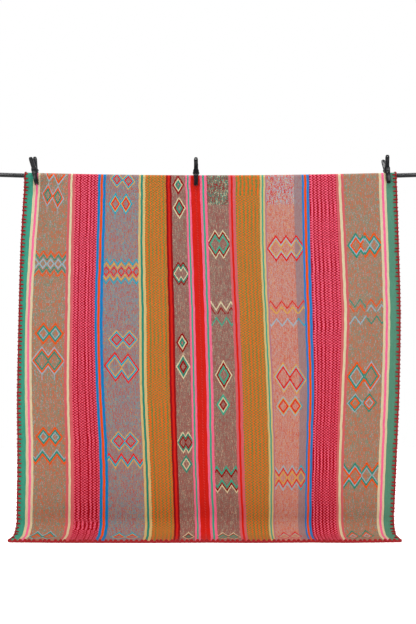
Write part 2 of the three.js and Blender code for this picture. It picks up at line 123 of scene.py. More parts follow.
class Value:
    """A number that varies over a surface, held as the socket that gives it."""

    def __init__(self, recipe: "Recipe", socket: bpy.types.NodeSocket) -> None:
        """Wraps a socket of the recipe's node tree."""
        self.recipe = recipe
        self.socket = socket

    def math(self, operation: str, *others: "Value | Number", first: bool = True) -> "Value":
        """Adds one Math node that works on this value.

        Args:
            operation: The Math node's operation.
            others: The other operands, values or plain numbers.
            first: Whether this value is the first operand.

        Returns:
            The node's result.
        """
        inputs = dict(enumerate([self, *others] if first else [*others, self]))
        node = self.recipe.node("ShaderNodeMath", {"operation": operation}, inputs)
        return Value(self.recipe, node.outputs[0])

    def __add__(self, other: "Value | Number") -> "Value":
        """This value plus another."""
        return self.math("ADD", other)

    def __radd__(self, other: Number) -> "Value":
        """A number plus this value."""
        return self.math("ADD", other)

    def __sub__(self, other: "Value | Number") -> "Value":
        """This value less another."""
        return self.math("SUBTRACT", other)

    def __rsub__(self, other: Number) -> "Value":
        """A number less this value."""
        return self.math("SUBTRACT", other, first=False)

    def __mul__(self, other: "Value | Number") -> "Value":
        """This value times another."""
        return self.math("MULTIPLY", other)

    def __rmul__(self, other: Number) -> "Value":
        """A number times this value."""
        return self.math("MULTIPLY", other)

    def __truediv__(self, other: "Value | Number") -> "Value":
        """This value divided by another."""
        return self.math("DIVIDE", other)

    def __gt__(self, other: "Value | Number") -> "Value":
        """One where this value is the greater, else nought."""
        return self.math("GREATER_THAN", other)

    def __lt__(self, other: "Value | Number") -> "Value":
        """One where this value is the less, else nought."""
        return self.math("LESS_THAN", other)

    def __abs__(self) -> "Value":
        """This value without its sign."""
        return self.math("ABSOLUTE")

    def floor(self) -> "Value":
        """The whole number below this value."""
        return self.math("FLOOR")

    def part(self) -> "Value":
        """What is left of this value above the whole number below it."""
        return self.math("FRACT")

    def sine(self) -> "Value":
        """The sine of this value."""
        return self.math("SINE")

    def fold(self, top: Number) -> "Value":
        """This value folded to and fro between nought and a top."""
        return self.math("PINGPONG", top)

    def within(self, low: Number, high: Number) -> "Value":
        """One between two bounds, else nought."""
        return abs(self - (low + high) / 2) < (high - low) / 2

    def clipped(self) -> "Value":
        """This value, kept between nought and one."""
        return self.math("MAXIMUM", 0.0).math("MINIMUM", 1.0)


class Recipe:
    """The node tree of one material or sky, built up one node at a time."""

    def __init__(self, holder: bpy.types.Material | bpy.types.World) -> None:
        """Empties the node tree of a new material or sky.

        Args:
            holder: The material or sky.
        """
        self.holder = holder
        holder.use_nodes = True
        self.tree = holder.node_tree
        self.tree.nodes.clear()

    @classmethod
    def material(cls, name: str) -> "Recipe":
        """The empty recipe of a new material."""
        return cls(bpy.data.materials.new(name))

    def node(
        self, kind: str, settings: dict[str, Any], inputs: dict[str | int, Any]
    ) -> bpy.types.Node:
        """Adds any node.

        Args:
            kind: The node's type.
            settings: Its settings.
            inputs: Its sockets by name or number, each with a value or a link.

        Returns:
            The new node.
        """
        made = self.tree.nodes.new(kind)
        for key, setting in settings.items():
            setattr(made, key, setting)
        for key, given in inputs.items():
            if isinstance(given, Value):
                given = given.socket
            if isinstance(given, bpy.types.NodeSocket):
                self.tree.links.new(given, made.inputs[key])
            else:
                made.inputs[key].default_value = given
        return made

    def mix(
        self, share: Value | Number, under: Any, over: Any, blend: str = "MIX"
    ) -> bpy.types.NodeSocket:
        """The socket of one colour laid over another, by a share from 0 to 1."""
        settings = {"data_type": "RGBA", "blend_type": blend}
        return self.node("ShaderNodeMix", settings, {0: share, 6: under, 7: over}).outputs[2]

    def grey(self, value: Value) -> bpy.types.NodeSocket:
        """The socket of a value as a grey colour."""
        return self.node("ShaderNodeCombineXYZ", {}, {0: value, 1: value, 2: value}).outputs[0]

    def flat(self) -> tuple[Value, Value]:
        """Where a point lies on the piece before it was hung, in millimetres.

        Returns:
            The place across and the place along.
        """
        uv = self.node("ShaderNodeUVMap", {"uv_map": FLAT_MAP}, {}).outputs["UV"]
        split = self.node("ShaderNodeSeparateXYZ", {}, {0: uv})
        return Value(self, split.outputs[0]) * 1000, Value(self, split.outputs[1]) * 1000

    def place(self) -> bpy.types.NodeSocket:
        """The socket of a point's place in the object's own frame."""
        return self.node("ShaderNodeTexCoord", {}, {}).outputs["Object"]

    def cell(self, column: Value, row: Value | Number) -> Value:
        """An even random number for each cell of a grid.

        Args:
            column: The cell's column.
            row: The cell's row.

        Returns:
            A number from 0 to 1.
        """
        grid = self.node("ShaderNodeCombineXYZ", {}, {0: column, 1: row}).outputs[0]
        noise = self.node("ShaderNodeTexWhiteNoise", {"noise_dimensions": "2D"}, {"Vector": grid})
        return Value(self, noise.outputs["Value"])

    def drift(self, along: Value, size: Number, seed: Number) -> Value:
        """A smooth random run along one direction.

        Args:
            along: The place along it, in millimetres.
            size: The size of its swings, in millimetres.
            seed: A number that sets one run apart from the next.

        Returns:
            A number about 0.5.
        """
        inputs = {"W": along / size + seed, "Scale": 1.0, "Detail": 1.0}
        noise = self.node("ShaderNodeTexNoise", {"noise_dimensions": "1D"}, inputs)
        return Value(self, noise.outputs[0])

    def cloud(self, vector: Any, scale: Number, detail: Number) -> Value:
        """A smooth random number about 0.5, read at a place."""
        inputs = {"Vector": vector, "Scale": scale, "Detail": detail}
        return Value(self, self.node("ShaderNodeTexNoise", {}, inputs).outputs[0])

    def bump(self, height: Value, depth: Number, strength: Number) -> bpy.types.NodeSocket:
        """The socket of the surface's direction over a relief, its depth in metres."""
        inputs = {"Strength": strength, "Distance": depth, "Height": height}
        return self.node("ShaderNodeBump", {}, inputs).outputs[0]

    def surface(self, inputs: dict[str, Any]) -> bpy.types.Material:
        """Closes the recipe with its shader.

        Args:
            inputs: The shader's sockets, with their values or links.

        Returns:
            The finished material.
        """
        shader = self.node("ShaderNodeBsdfPrincipled", {}, inputs)
        self.node("ShaderNodeOutputMaterial", {}, {"Surface": shader.outputs[0]})
        return self.holder


# The pattern of the cloth


@dataclass(frozen=True)
class Stripe:
    """A plain stripe of warp, its width in millimetres."""

    width: float
    yarn: Yarn


@dataclass(frozen=True)
class Ladder:
    """A stripe of two yarns that step to and fro in small zigzags."""

    width: float
    yarn: Yarn
    second: Yarn
    share: float = 0.5
    bars: tuple[float, float] = (0.0, 0.0)  # between these places along, the zigzags run straight
    deepen: float = 0.0  # how much the second yarn gains towards the foot of the rug


class Half(Enum):
    """Which part of a field a row of lozenges fills."""

    WHOLE = "whole"
    LEFT = "left"
    RIGHT = "right"


@dataclass(frozen=True)
class Motif:
    """A row of lozenges drawn in up to three lines, outer line first, in millimetres.

    Each line's yarn is a letter of SPUN. The lower half may have its own yarns, or none.
    With no peaks the lines zigzag right across the field.
    """

    middle: float
    tall: float
    slope: float
    peaks: int
    pitch: float
    upper: str
    lower: str | None = None
    shift: float = 0.0
    spacing: float = 6.8  # of the lines, which touch or stand apart
    half: Half = Half.WHOLE
    drip: float = 0.0  # length of the thin lines below the lowest tips
    slant: float = 0.0  # how far the row sinks for each millimetre across


@dataclass(frozen=True)
class Field:
    """A stripe of three mingled yarns with rows of lozenges on it."""

    width: float
    ground: Yarn  # how the mingled yarns look from afar
    yarns: str  # letters of SPUN
    motifs: tuple[Motif, ...]
    strip: tuple[float, Yarn] | None = None  # width and ground of a strip at its right side
    bold: float = 0.0  # above this place along, the mingled yarns stand out
    mingle: float = 0.42  # how far they stand out of their ground elsewhere


Band = Stripe | Ladder | Field


def trio(outer: Yarn, inner: Yarn, *widths: float) -> tuple[Stripe, ...]:
    """Three plain stripes, one yarn on both sides of another.

    Args:
        outer: The yarn of the first and the third.
        inner: The yarn between them.
        widths: Their widths, in millimetres.

    Returns:
        The stripes.
    """
    return tuple(Stripe(width, yarn) for width, yarn in zip(widths, (outer, inner, outer)))


BROWN_LEFT = Field(
    127, Yarn.BROWN, "OTL",
    (
        Motif(-28, 64, 1.7, 2, 42, "", "LO", -3, slant=0.4),
        Motif(87, 51, 1.8, 2, 45, "LOT", shift=-4, spacing=5.8, drip=24, slant=0.22),
        Motif(376, 57, 1.45, 0, 31, "OTL", spacing=11.5),
        Motif(671, 48, 1.4, 2, 46, "OTL", shift=4),
        Motif(785, 60, 1.4, 2, 48, "LOT", drip=22),
        Motif(1101, 43, 1.35, 2, 46, "OTL"),
        Motif(1218, 68, 1.4, 0, 56, "LTO", "", 28),
        Motif(1530, 42, 1.3, 2, 48, "LTO", shift=-13),
    ),
    mingle=0.56,
)
GREY_LEFT = Field(
    143.5, Yarn.GREY, "SUG",
    (
        Motif(13, 38, 1.25, 2, 50, "GUS", spacing=6.2, slant=0.13),
        Motif(115, 47, 1.65, 2, 46, "UGS", shift=-7, spacing=5.6, drip=20),
        Motif(404, 56, 1.45, 0, 31, "UGS", spacing=11.5),
        Motif(691, 42, 1.2, 2, 50, "GUS", shift=7),
        Motif(808, 64, 1.4, 2, 52, "SUG", slant=0.12),
        Motif(1113, 43, 1.2, 2, 48, "GUS"),
        Motif(1236, 76, 1.5, 0, 50, "SUG", "", -17),
        Motif(1530, 42, 1.2, 2, 50, "UGS"),
    ),
)
NARROW_LEFT = Field(
    62, Yarn.TAUPE, "DTC",
    (
        Motif(31, 43, 1.6, 1, 40, "DCT", shift=-2),
        Motif(130, 48, 1.7, 1, 40, "CDT"),
        Motif(410, 52, 1.6, 2, 20, "DTC", spacing=5.5),
        Motif(701, 44, 1.7, 1, 40, "DCT", shift=-2),
        Motif(802, 53, 1.8, 1, 40, "CTD"),
        Motif(1117, 46, 1.7, 2, 22, "CTD", shift=3, spacing=5.5),
        Motif(1206, 38, 1.5, 1, 40, "TC", shift=3),
        Motif(1530, 42, 1.6, 1, 40, "CDT", shift=3),
    ),
    mingle=0.35,
)
NARROW_RIGHT = Field(
    95, Yarn.TAUPE, "DTC",
    (
        Motif(285, 63, 1.55, 2, 35, "CDM"),
        Motif(582, 57, 1.55, 0, 44, "CD", "", -3, spacing=16),
        Motif(577, 57, 1.55, 0, 44, "", "M", -3, spacing=16),
        Motif(837, 63, 1.7, 1, 60, "CDM", shift=-2),
        Motif(960, 45, 1.5, 1, 60, "MCD", shift=-7),
        Motif(1268, 57, 1.45, 0, 40, "MD", "CDM"),
        Motif(1530, 40, 1.2, 2, 44, "CDM", shift=-4),
    ),
    bold=115,
    mingle=0.36,
)
SALMON_RIGHT = Field(
    144.5, Yarn.CORAL, "SLG",
    (
        Motif(304, 58, 1.5, 3, 41, "SLG", shift=4),
        Motif(580, 56, 1.35, 0, 45, "SG", "L", 22, spacing=18),
        Motif(852, 64, 1.5, 2, 54, "GLS", slant=0.12),
        Motif(968, 44, 1.35, 2, 52, "LGS", shift=-5),
        Motif(1264, 54, 1.4, 0, 42, "LSG", shift=8, spacing=8.8),
        Motif(1528, 40, 1.2, 2, 52, "SLG", shift=-6),
    ),
    strip=(33, Yarn.ASH),
    bold=115,
    mingle=0.35,
)
BROWN_RIGHT = Field(
    145, Yarn.BROWN, "OTL",
    (
        Motif(297, 56, 1.5, 3, 38, "TLO", shift=5, half=Half.LEFT),
        Motif(297, 56, 1.5, 3, 38, "OTL", shift=5, half=Half.RIGHT),
        Motif(578, 56, 1.4, 0, 46, "TO", "L", 20, 18, Half.LEFT),
        Motif(578, 56, 1.4, 0, 46, "OL", "T", 20, 18, Half.RIGHT),
        Motif(850, 65, 1.5, 2, 60, "OTL", shift=-5, half=Half.LEFT),
        Motif(850, 65, 1.5, 2, 60, "LOT", shift=-5, half=Half.RIGHT),
        Motif(960, 40, 1.2, 2, 59, "LTO", shift=-7, half=Half.LEFT),
        Motif(960, 40, 1.2, 2, 59, "TOL", shift=-7, half=Half.RIGHT),
        Motif(1260, 56, 1.4, 0, 48, "TLO", shift=22, half=Half.LEFT),
        Motif(1260, 56, 1.4, 0, 48, "OTL", shift=22, half=Half.RIGHT),
        Motif(1526, 42, 1.3, 2, 60, "TOL", shift=-12),
    ),
    mingle=0.52,
)

LEFT_BANDS: tuple[Band, ...] = (
    Stripe(29, Yarn.GREEN),
    *trio(Yarn.CREAM, Yarn.HOT_PINK, 10.5, 9.5, 9),
    BROWN_LEFT,
    *trio(Yarn.SALMON, Yarn.CREAM, 10.5, 9, 12),
    Ladder(101, Yarn.ROSE, Yarn.CRIMSON, 0.6, (1446, 1482), deepen=0.1),
    *trio(Yarn.BLUE, Yarn.ORANGE, 12, 10, 12.5),
    GREY_LEFT,
    *trio(Yarn.STRAW, Yarn.TEAL, 9, 9, 10.5),
    Ladder(91, Yarn.AMBER, Yarn.OLIVE),
    *trio(Yarn.DARK_RED, Yarn.RED, 8, 9, 7.5),
    NARROW_LEFT,
    *trio(Yarn.PINK, Yarn.GREEN, 7.5, 7, 8),
    Stripe(22, Yarn.RED),
)
RIGHT_BANDS: tuple[Band, ...] = (
    Stripe(18, Yarn.RED),
    *trio(Yarn.PINK, Yarn.GREEN, 10, 9, 10.5),
    NARROW_RIGHT,
    *trio(Yarn.SALMON, Yarn.RED, 9.5, 9, 11.5),
    Ladder(98, Yarn.AMBER, Yarn.OLIVE, bars=(-30, 75)),
    *trio(Yarn.STRAW, Yarn.GREEN, 7.5, 6.5, 7.5),
    Stripe(6, Yarn.MAUVE),
    SALMON_RIGHT,
    *trio(Yarn.SKY, Yarn.ORANGE, 9, 10, 11),
    Ladder(111.5, Yarn.ROSE, Yarn.CRIMSON, 0.6, deepen=0.08),
    *trio(Yarn.SALMON, Yarn.CREAM, 10.5, 10.5, 10),
    BROWN_RIGHT,
    *trio(Yarn.CREAM, Yarn.HOT_PINK, 10.5, 10, 9),
    Stripe(38.5, Yarn.PALE_GREEN),
)


@dataclass(frozen=True)
class Weave:
    """What the bands of a panel read: places in millimetres, and random numbers."""

    recipe: Recipe
    across: Value  # with the stripes' small wanderings
    along: Value
    rib: Value  # the place across, stepped by ribs
    pick: Value  # the place along, stepped by picks
    grain: Value  # for each cell of the weave
    strand: Value  # for each stretch of a rib


@dataclass(frozen=True)
class WovenFinish:
    """The dyed weave of one panel, worked out from its bands of warp, in millimetres."""

    name: str
    start: float  # the panel's left edge across the rug
    bands: tuple[Band, ...]
    warp: float = 1.5  # spacing of the warp ribs
    pick: float = 2.8  # spacing of the weft picks
    stretch: float = 14.0  # length over which a rib keeps its shade
    wobble: float = 1.8  # how far the stripes' edges stray
    wobble_run: float = 60.0
    relief: float = 0.0008  # metres
    ladder_pitch: float = 15.8
    ladder_step: float = 11.0
    swing: float = 0.6  # how much the zigzags' swing changes along and across
    swing_less: float = 0.14
    swing_along: float = 120.0
    swing_across: float = 26.0
    stray: float = 0.1  # how ragged the zigzags are, in their pitch
    bar_stray: float = 0.35  # how much more ragged their bars are
    second_above: float = 0.47  # the chance above which the second yarn of a field shows
    third_above: float = 0.8
    bold_gain: float = 0.45
    strip_share: float = 0.8
    drip_half: float = 1.6
    drip_lap: float = 6.0
    drip_share: float = 0.7
    line: float = 5.8  # thickness of a line that stands apart, measured across the rug
    touching: float = 8.0  # up to this spacing the lines touch
    tint_start: float = 500.0  # below this place along, the cloth's colour is multiplied a little darker and warmer
    tint_run: float = 700.0
    deepen_run: float = 900.0
    # the colour the cloth is multiplied by towards the foot, a little darker and warmer
    tinted: Colour = (0.95, 0.87, 0.83, 1.0)
    dye: float = 0.72  # share of the light that the palest yarn gives back

    def material(self) -> bpy.types.Material:
        """Makes the material.

        Returns:
            The woven material, which reads the flat map.
        """
        recipe = Recipe.material(self.name)
        across, along = recipe.flat()
        rib = (across / self.warp).floor()
        run = along / self.pick + (rib / 2).part()
        pick = run.floor()
        grain = recipe.cell(rib, pick)
        strand = recipe.cell(rib, (along / self.stretch + grain * 0.3).floor() + 0.5)
        wander = recipe.drift(along, self.wobble_run, self.start) - 0.5
        strayed = across + wander * (2 * self.wobble)
        weave = Weave(recipe, strayed, along, rib * self.warp, pick * self.pick, grain, strand)
        shade = (0.86 + grain * 0.16 + strand * 0.12) * self.dye
        cloth = recipe.mix(1.0, self._bands(weave), recipe.grey(shade), "MULTIPLY")
        # a little darker and warmer towards the foot, multiplied over the bands
        tinted = ((along - self.tint_start) / self.tint_run).clipped()
        cloth = recipe.mix(tinted, cloth, self.tinted, "MULTIPLY")
        ridge = abs((across * (math.pi / self.warp)).sine())
        crown = abs((run * math.pi).sine())
        height = ridge * 0.5 + crown * 0.35 + grain * 0.15
        return recipe.surface({
            "Base Color": cloth,
            "Roughness": 0.84 + grain * 0.12,
            "Normal": recipe.bump(height, self.relief, 0.7),
            "Specular IOR Level": 0.08,
            "Sheen Weight": 0.02,
            "Sheen Roughness": 0.5,
        })

    def _bands(self, weave: Weave) -> bpy.types.NodeSocket:
        """Lays the bands side by side.

        Args:
            weave: What the bands read.

        Returns:
            The socket of the bands' colour.
        """
        left = self.start
        cloth: Any = None
        for band in self.bands:
            if isinstance(band, Field):
                paint = self._field(weave, band, left)
            elif isinstance(band, Ladder):
                paint = self._ladder(weave, band)
            else:
                paint = band.yarn.value
            cloth = paint if cloth is None else weave.recipe.mix(weave.across > left, cloth, paint)
            left += band.width
        return cloth

    def _ladder(self, weave: Weave, band: Ladder) -> bpy.types.NodeSocket:
        """Paints a stripe of small zigzags.

        Args:
            weave: What the stripe reads.
            band: The stripe.

        Returns:
            The socket of the stripe's colour.
        """
        recipe, across, along = weave.recipe, weave.across, weave.along
        swing = recipe.drift(along, self.swing_along, band.width) * self.swing
        swing = swing + recipe.drift(across, self.swing_across, band.width) * self.swing
        swing = swing - self.swing_less
        stray: Any = self.stray
        if band.bars[1] > band.bars[0]:
            barred = along.within(*band.bars)
            swing = swing * (1 - barred)
            stray = barred * self.bar_stray + self.stray
        step = ((along / self.ladder_step).fold(0.5) * 4 - 0.5).clipped()
        phase = across / self.ladder_pitch + step * swing + (weave.grain - 0.5) * stray
        share: Any = band.share
        if band.deepen > 0:
            deep = ((along - self.tint_start) / self.deepen_run).clipped()
            share = deep * band.deepen + band.share
        return recipe.mix(phase.part() < share, band.yarn.value, band.second.value)

    def _field(self, weave: Weave, band: Field, left: float) -> bpy.types.NodeSocket:
        """Paints a field of mingled yarns and its rows of lozenges.

        Args:
            weave: What the field reads.
            band: The field.
            left: Its left side, in millimetres.

        Returns:
            The socket of the field's colour.
        """
        recipe, rib = weave.recipe, weave.rib
        first, second, third = (SPUN[letter].value for letter in band.yarns)
        chance = weave.grain * 0.5 + weave.strand * 0.5
        flecks = recipe.mix(chance > self.second_above, first, second)
        flecks = recipe.mix(chance > self.third_above, flecks, third)
        share: Any = band.mingle
        if band.bold > 0:
            share = (weave.pick < band.bold) * self.bold_gain + band.mingle
        paint = recipe.mix(share, band.ground.value, flecks)
        blue: Any = Yarn.LIGHT_BLUE.value
        if band.strip is not None:
            width, other = band.strip
            inside = rib > left + band.width - width
            paint = recipe.mix(inside * self.strip_share, paint, other.value)
            blue = recipe.mix(inside, blue, Yarn.TURQUOISE.value)
        across = rib - (left + band.width / 2)
        for motif in band.motifs:
            paint = self._motif(weave, motif, across, blue, paint)
        return paint

    def _motif(self, weave: Weave, motif: Motif, across: Value, blue: Any, paint: Any) -> Any:
        """Paints a row of lozenges over a field.

        Args:
            weave: What the row reads.
            motif: The row.
            across: The place across from the field's middle.
            blue: The colour of its light blue lines.
            paint: The colour under the row.

        Returns:
            The socket of the painted colour.
        """
        side = across - motif.shift
        if motif.peaks == 0:
            away = side.fold(motif.pitch / 2)
        else:
            away = abs(side)
            for _ in range(1, motif.peaks):
                away = abs(away - motif.pitch / 2)
        depth = weave.pick - motif.middle
        if motif.slant:
            depth = depth - side * motif.slant
        measure = away + abs(depth) / motif.slope
        below = motif.upper if motif.lower is None else motif.lower
        masks: list[Value] = []
        if motif.half is not Half.WHOLE:
            masks = [across > 0 if motif.half is Half.RIGHT else across < 0]
        if motif.drip > 0:
            hang = depth.within(motif.tall - self.drip_lap, motif.tall + motif.drip)
            hang = (away < self.drip_half) * hang * self.drip_share
            paint = weave.recipe.mix(hang, paint, SPUN[below[0]].value)
        halves = [(motif.upper, masks)]
        if motif.lower is not None:
            halves = [(motif.upper, [*masks, depth < 0]), (below, [*masks, depth > 0])]
        for yarns, shows in halves:
            outer = motif.tall / motif.slope
            apart = motif.spacing > self.touching
            for yarn in (SPUN[letter] for letter in yarns):
                inner = outer - (self.line if apart else motif.spacing * yarn.weight)
                shown = measure.within(inner, outer)
                for mask in shows:
                    shown = shown * mask
                colour = blue if yarn is Yarn.LIGHT_BLUE else yarn.value
                paint = weave.recipe.mix(shown, paint, colour)
                outer = outer - motif.spacing if apart else inner
        return paint


@dataclass(frozen=True)
class YarnFinish:
    """Twisted wool yarn, which reads a flat map that runs along each stitch; shade is painted into
    the grooves between its plies.
    """

    name: str
    colour: Colour
    # mixed in where the plies meet, as painted shade in the grooves, and at random by the fuzz
    dark: Colour
    twist: float = 5.0  # length of one turn of the twist, in millimetres
    girth: float = 12.0  # length round the yarn

    def material(self) -> bpy.types.Material:
        """Makes the material.

        Returns:
            The wool's material.
        """
        recipe = Recipe.material(self.name)
        around, along = recipe.flat()
        ply = (along / self.twist + around * (2 / self.girth)).part()
        strand = abs(ply - 0.5) * 2
        fuzz = recipe.cloud(recipe.place(), 900.0, 3.0)
        # darker where the plies meet: painted shade in the grooves, where the relief sinks; the
        # fuzz adds random tone
        share = strand * 0.7 + fuzz * 0.5 - 0.15
        return recipe.surface({
            "Base Color": recipe.mix(share, self.colour, self.dark),
            "Roughness": 0.82 + fuzz * 0.14,
            "Normal": recipe.bump((1 - strand) * 0.8 + fuzz * 0.2, 0.0008, 0.8),
            "Specular IOR Level": 0.2,
            "Sheen Weight": 0.15,
            "Sheen Roughness": 0.5,
        })


@dataclass(frozen=True)
class MouldedFinish:
    """Moulded or lacquered material with a fine grain and a little wear."""

    name: str
    colour: Colour
    tinted: Colour
    roughness: float
    grain: float  # how fine the grain is
    relief: float  # depth of the grain, in metres
    metal: float = 0.0
    gloss: float = 0.3

    def material(self) -> bpy.types.Material:
        """Makes the material.

        Returns:
            The moulded material.
        """
        recipe = Recipe.material(self.name)
        place = recipe.place()
        patches = recipe.cloud(place, 14.0, 3.0)
        grain = recipe.cloud(place, self.grain, 2.0)
        tinted = patches * 0.5 + grain * 0.5
        return recipe.surface({
            "Base Color": recipe.mix(tinted, self.colour, self.tinted),
            "Roughness": self.roughness - 0.12 + tinted * 0.24,
            "Metallic": self.metal,
            "Specular IOR Level": self.gloss,
            "Normal": recipe.bump(grain, self.relief, 0.5),
        })


@dataclass(frozen=True)
class FloorFinish:
    """Plain pale studio floor with a very faint mottle."""

    name: str
    colour: Colour
    mottled: Colour
    glow: float

    def material(self) -> bpy.types.Material:
        """Makes the material.

        Returns:
            The floor's material.
        """
        recipe = Recipe.material(self.name)
        mottle = recipe.cloud(recipe.place(), 3.0, 2.0)
        return recipe.surface({
            "Base Color": recipe.mix(mottle, self.colour, self.mottled),
            "Roughness": 0.9 + mottle * 0.05,
            "Specular IOR Level": 0.0,
            "Emission Color": (1.0, 1.0, 1.0, 1.0),
            "Emission Strength": self.glow,
        })


# The way the rug hangs


@dataclass(frozen=True)
class Thread:
    """A warp thread: its place across, its lie at the floor and its wander, in millimetres."""

    at: float
    bend: float  # radius of its bend at the floor
    reach: float  # how far its end lies in front of the rod
    wander: tuple[float, ...]  # sideways, at each of WANDER_DROPS


@dataclass(frozen=True)
class Fold:
    """A soft fold of the hanging front, in millimetres."""

    at: float
    half_width: float
    depth: float
    drift: float


@dataclass(frozen=True)
class Wave:
    """Small crossing waves of the weave: their share, and their lengths in millimetres."""

    size: float
    wide: float
    slant: float
    start: float
    tall: float
    lean: float


WANDER_DROPS = (0, 300, 600, 900, 1200, 1490)
THREADS = (
    Thread(-801, 62, 164, (8, -2, -3, -5, -1, 0)),
    Thread(-747, 66, 166, (14, -1, -13, -8, 3, 2)),
    Thread(-589, 76, 172, (5, 1, -1, -1, 9, 12)),
    Thread(-460, 71, 174, (0, -5, -11, -1, 17, 20)),
    Thread(-276, 66, 175, (-5, -5, 2, 6, 21, 32)),
    Thread(-46, 80, 169, (-15, -3, 7, 15, 20, 32)),
    Thread(115, 70, 174, (-18, -13, 0, 11, 17, 28)),
    Thread(235, 67, 171, (-11, -10, 1, 13, 21, 17)),
    Thread(413, 64, 168, (-5, -2, 5, 11, 1, -6)),
    Thread(556, 74, 173, (-2, 9, 17, 1, -14, -18)),
    Thread(791, 66, 161, (8, 13, 16, 7, -10, -29)),
)
FOLDS = (
    Fold(-760, 120, 9, 20),
    Fold(-560, 150, -5, 30),
    Fold(-330, 140, 6, -20),
    Fold(-90, 160, -6, 40),
    Fold(150, 150, 7, 10),
    Fold(380, 130, -5, -30),
    Fold(590, 140, 6, -40),
    Fold(770, 110, -8, -20),
)
WAVES = (
    Wave(1.0, 37, 210, 0, 83, 190),
    Wave(0.6, 19, -150, 2, 47, 90),
)


class Stretch(Enum):
    """The stretches of the rug's path, from the flap's end to the hem, and their rows of faces."""

    FLAP = 26
    OVER = 24
    DROP = 168
    BEND = 16
    RUN = 12


def ease(low: float, high: float, at: np.ndarray) -> np.ndarray:
    """A smooth step from 0 at a low place to 1 at a high one.

    Args:
        low: Where the step begins.
        high: Where it ends.
        at: The places asked for.

    Returns:
        The height of the step at each place.
    """
    share = np.clip((at - low) / (high - low), 0.0, 1.0)
    return share * share * (3.0 - 2.0 * share)


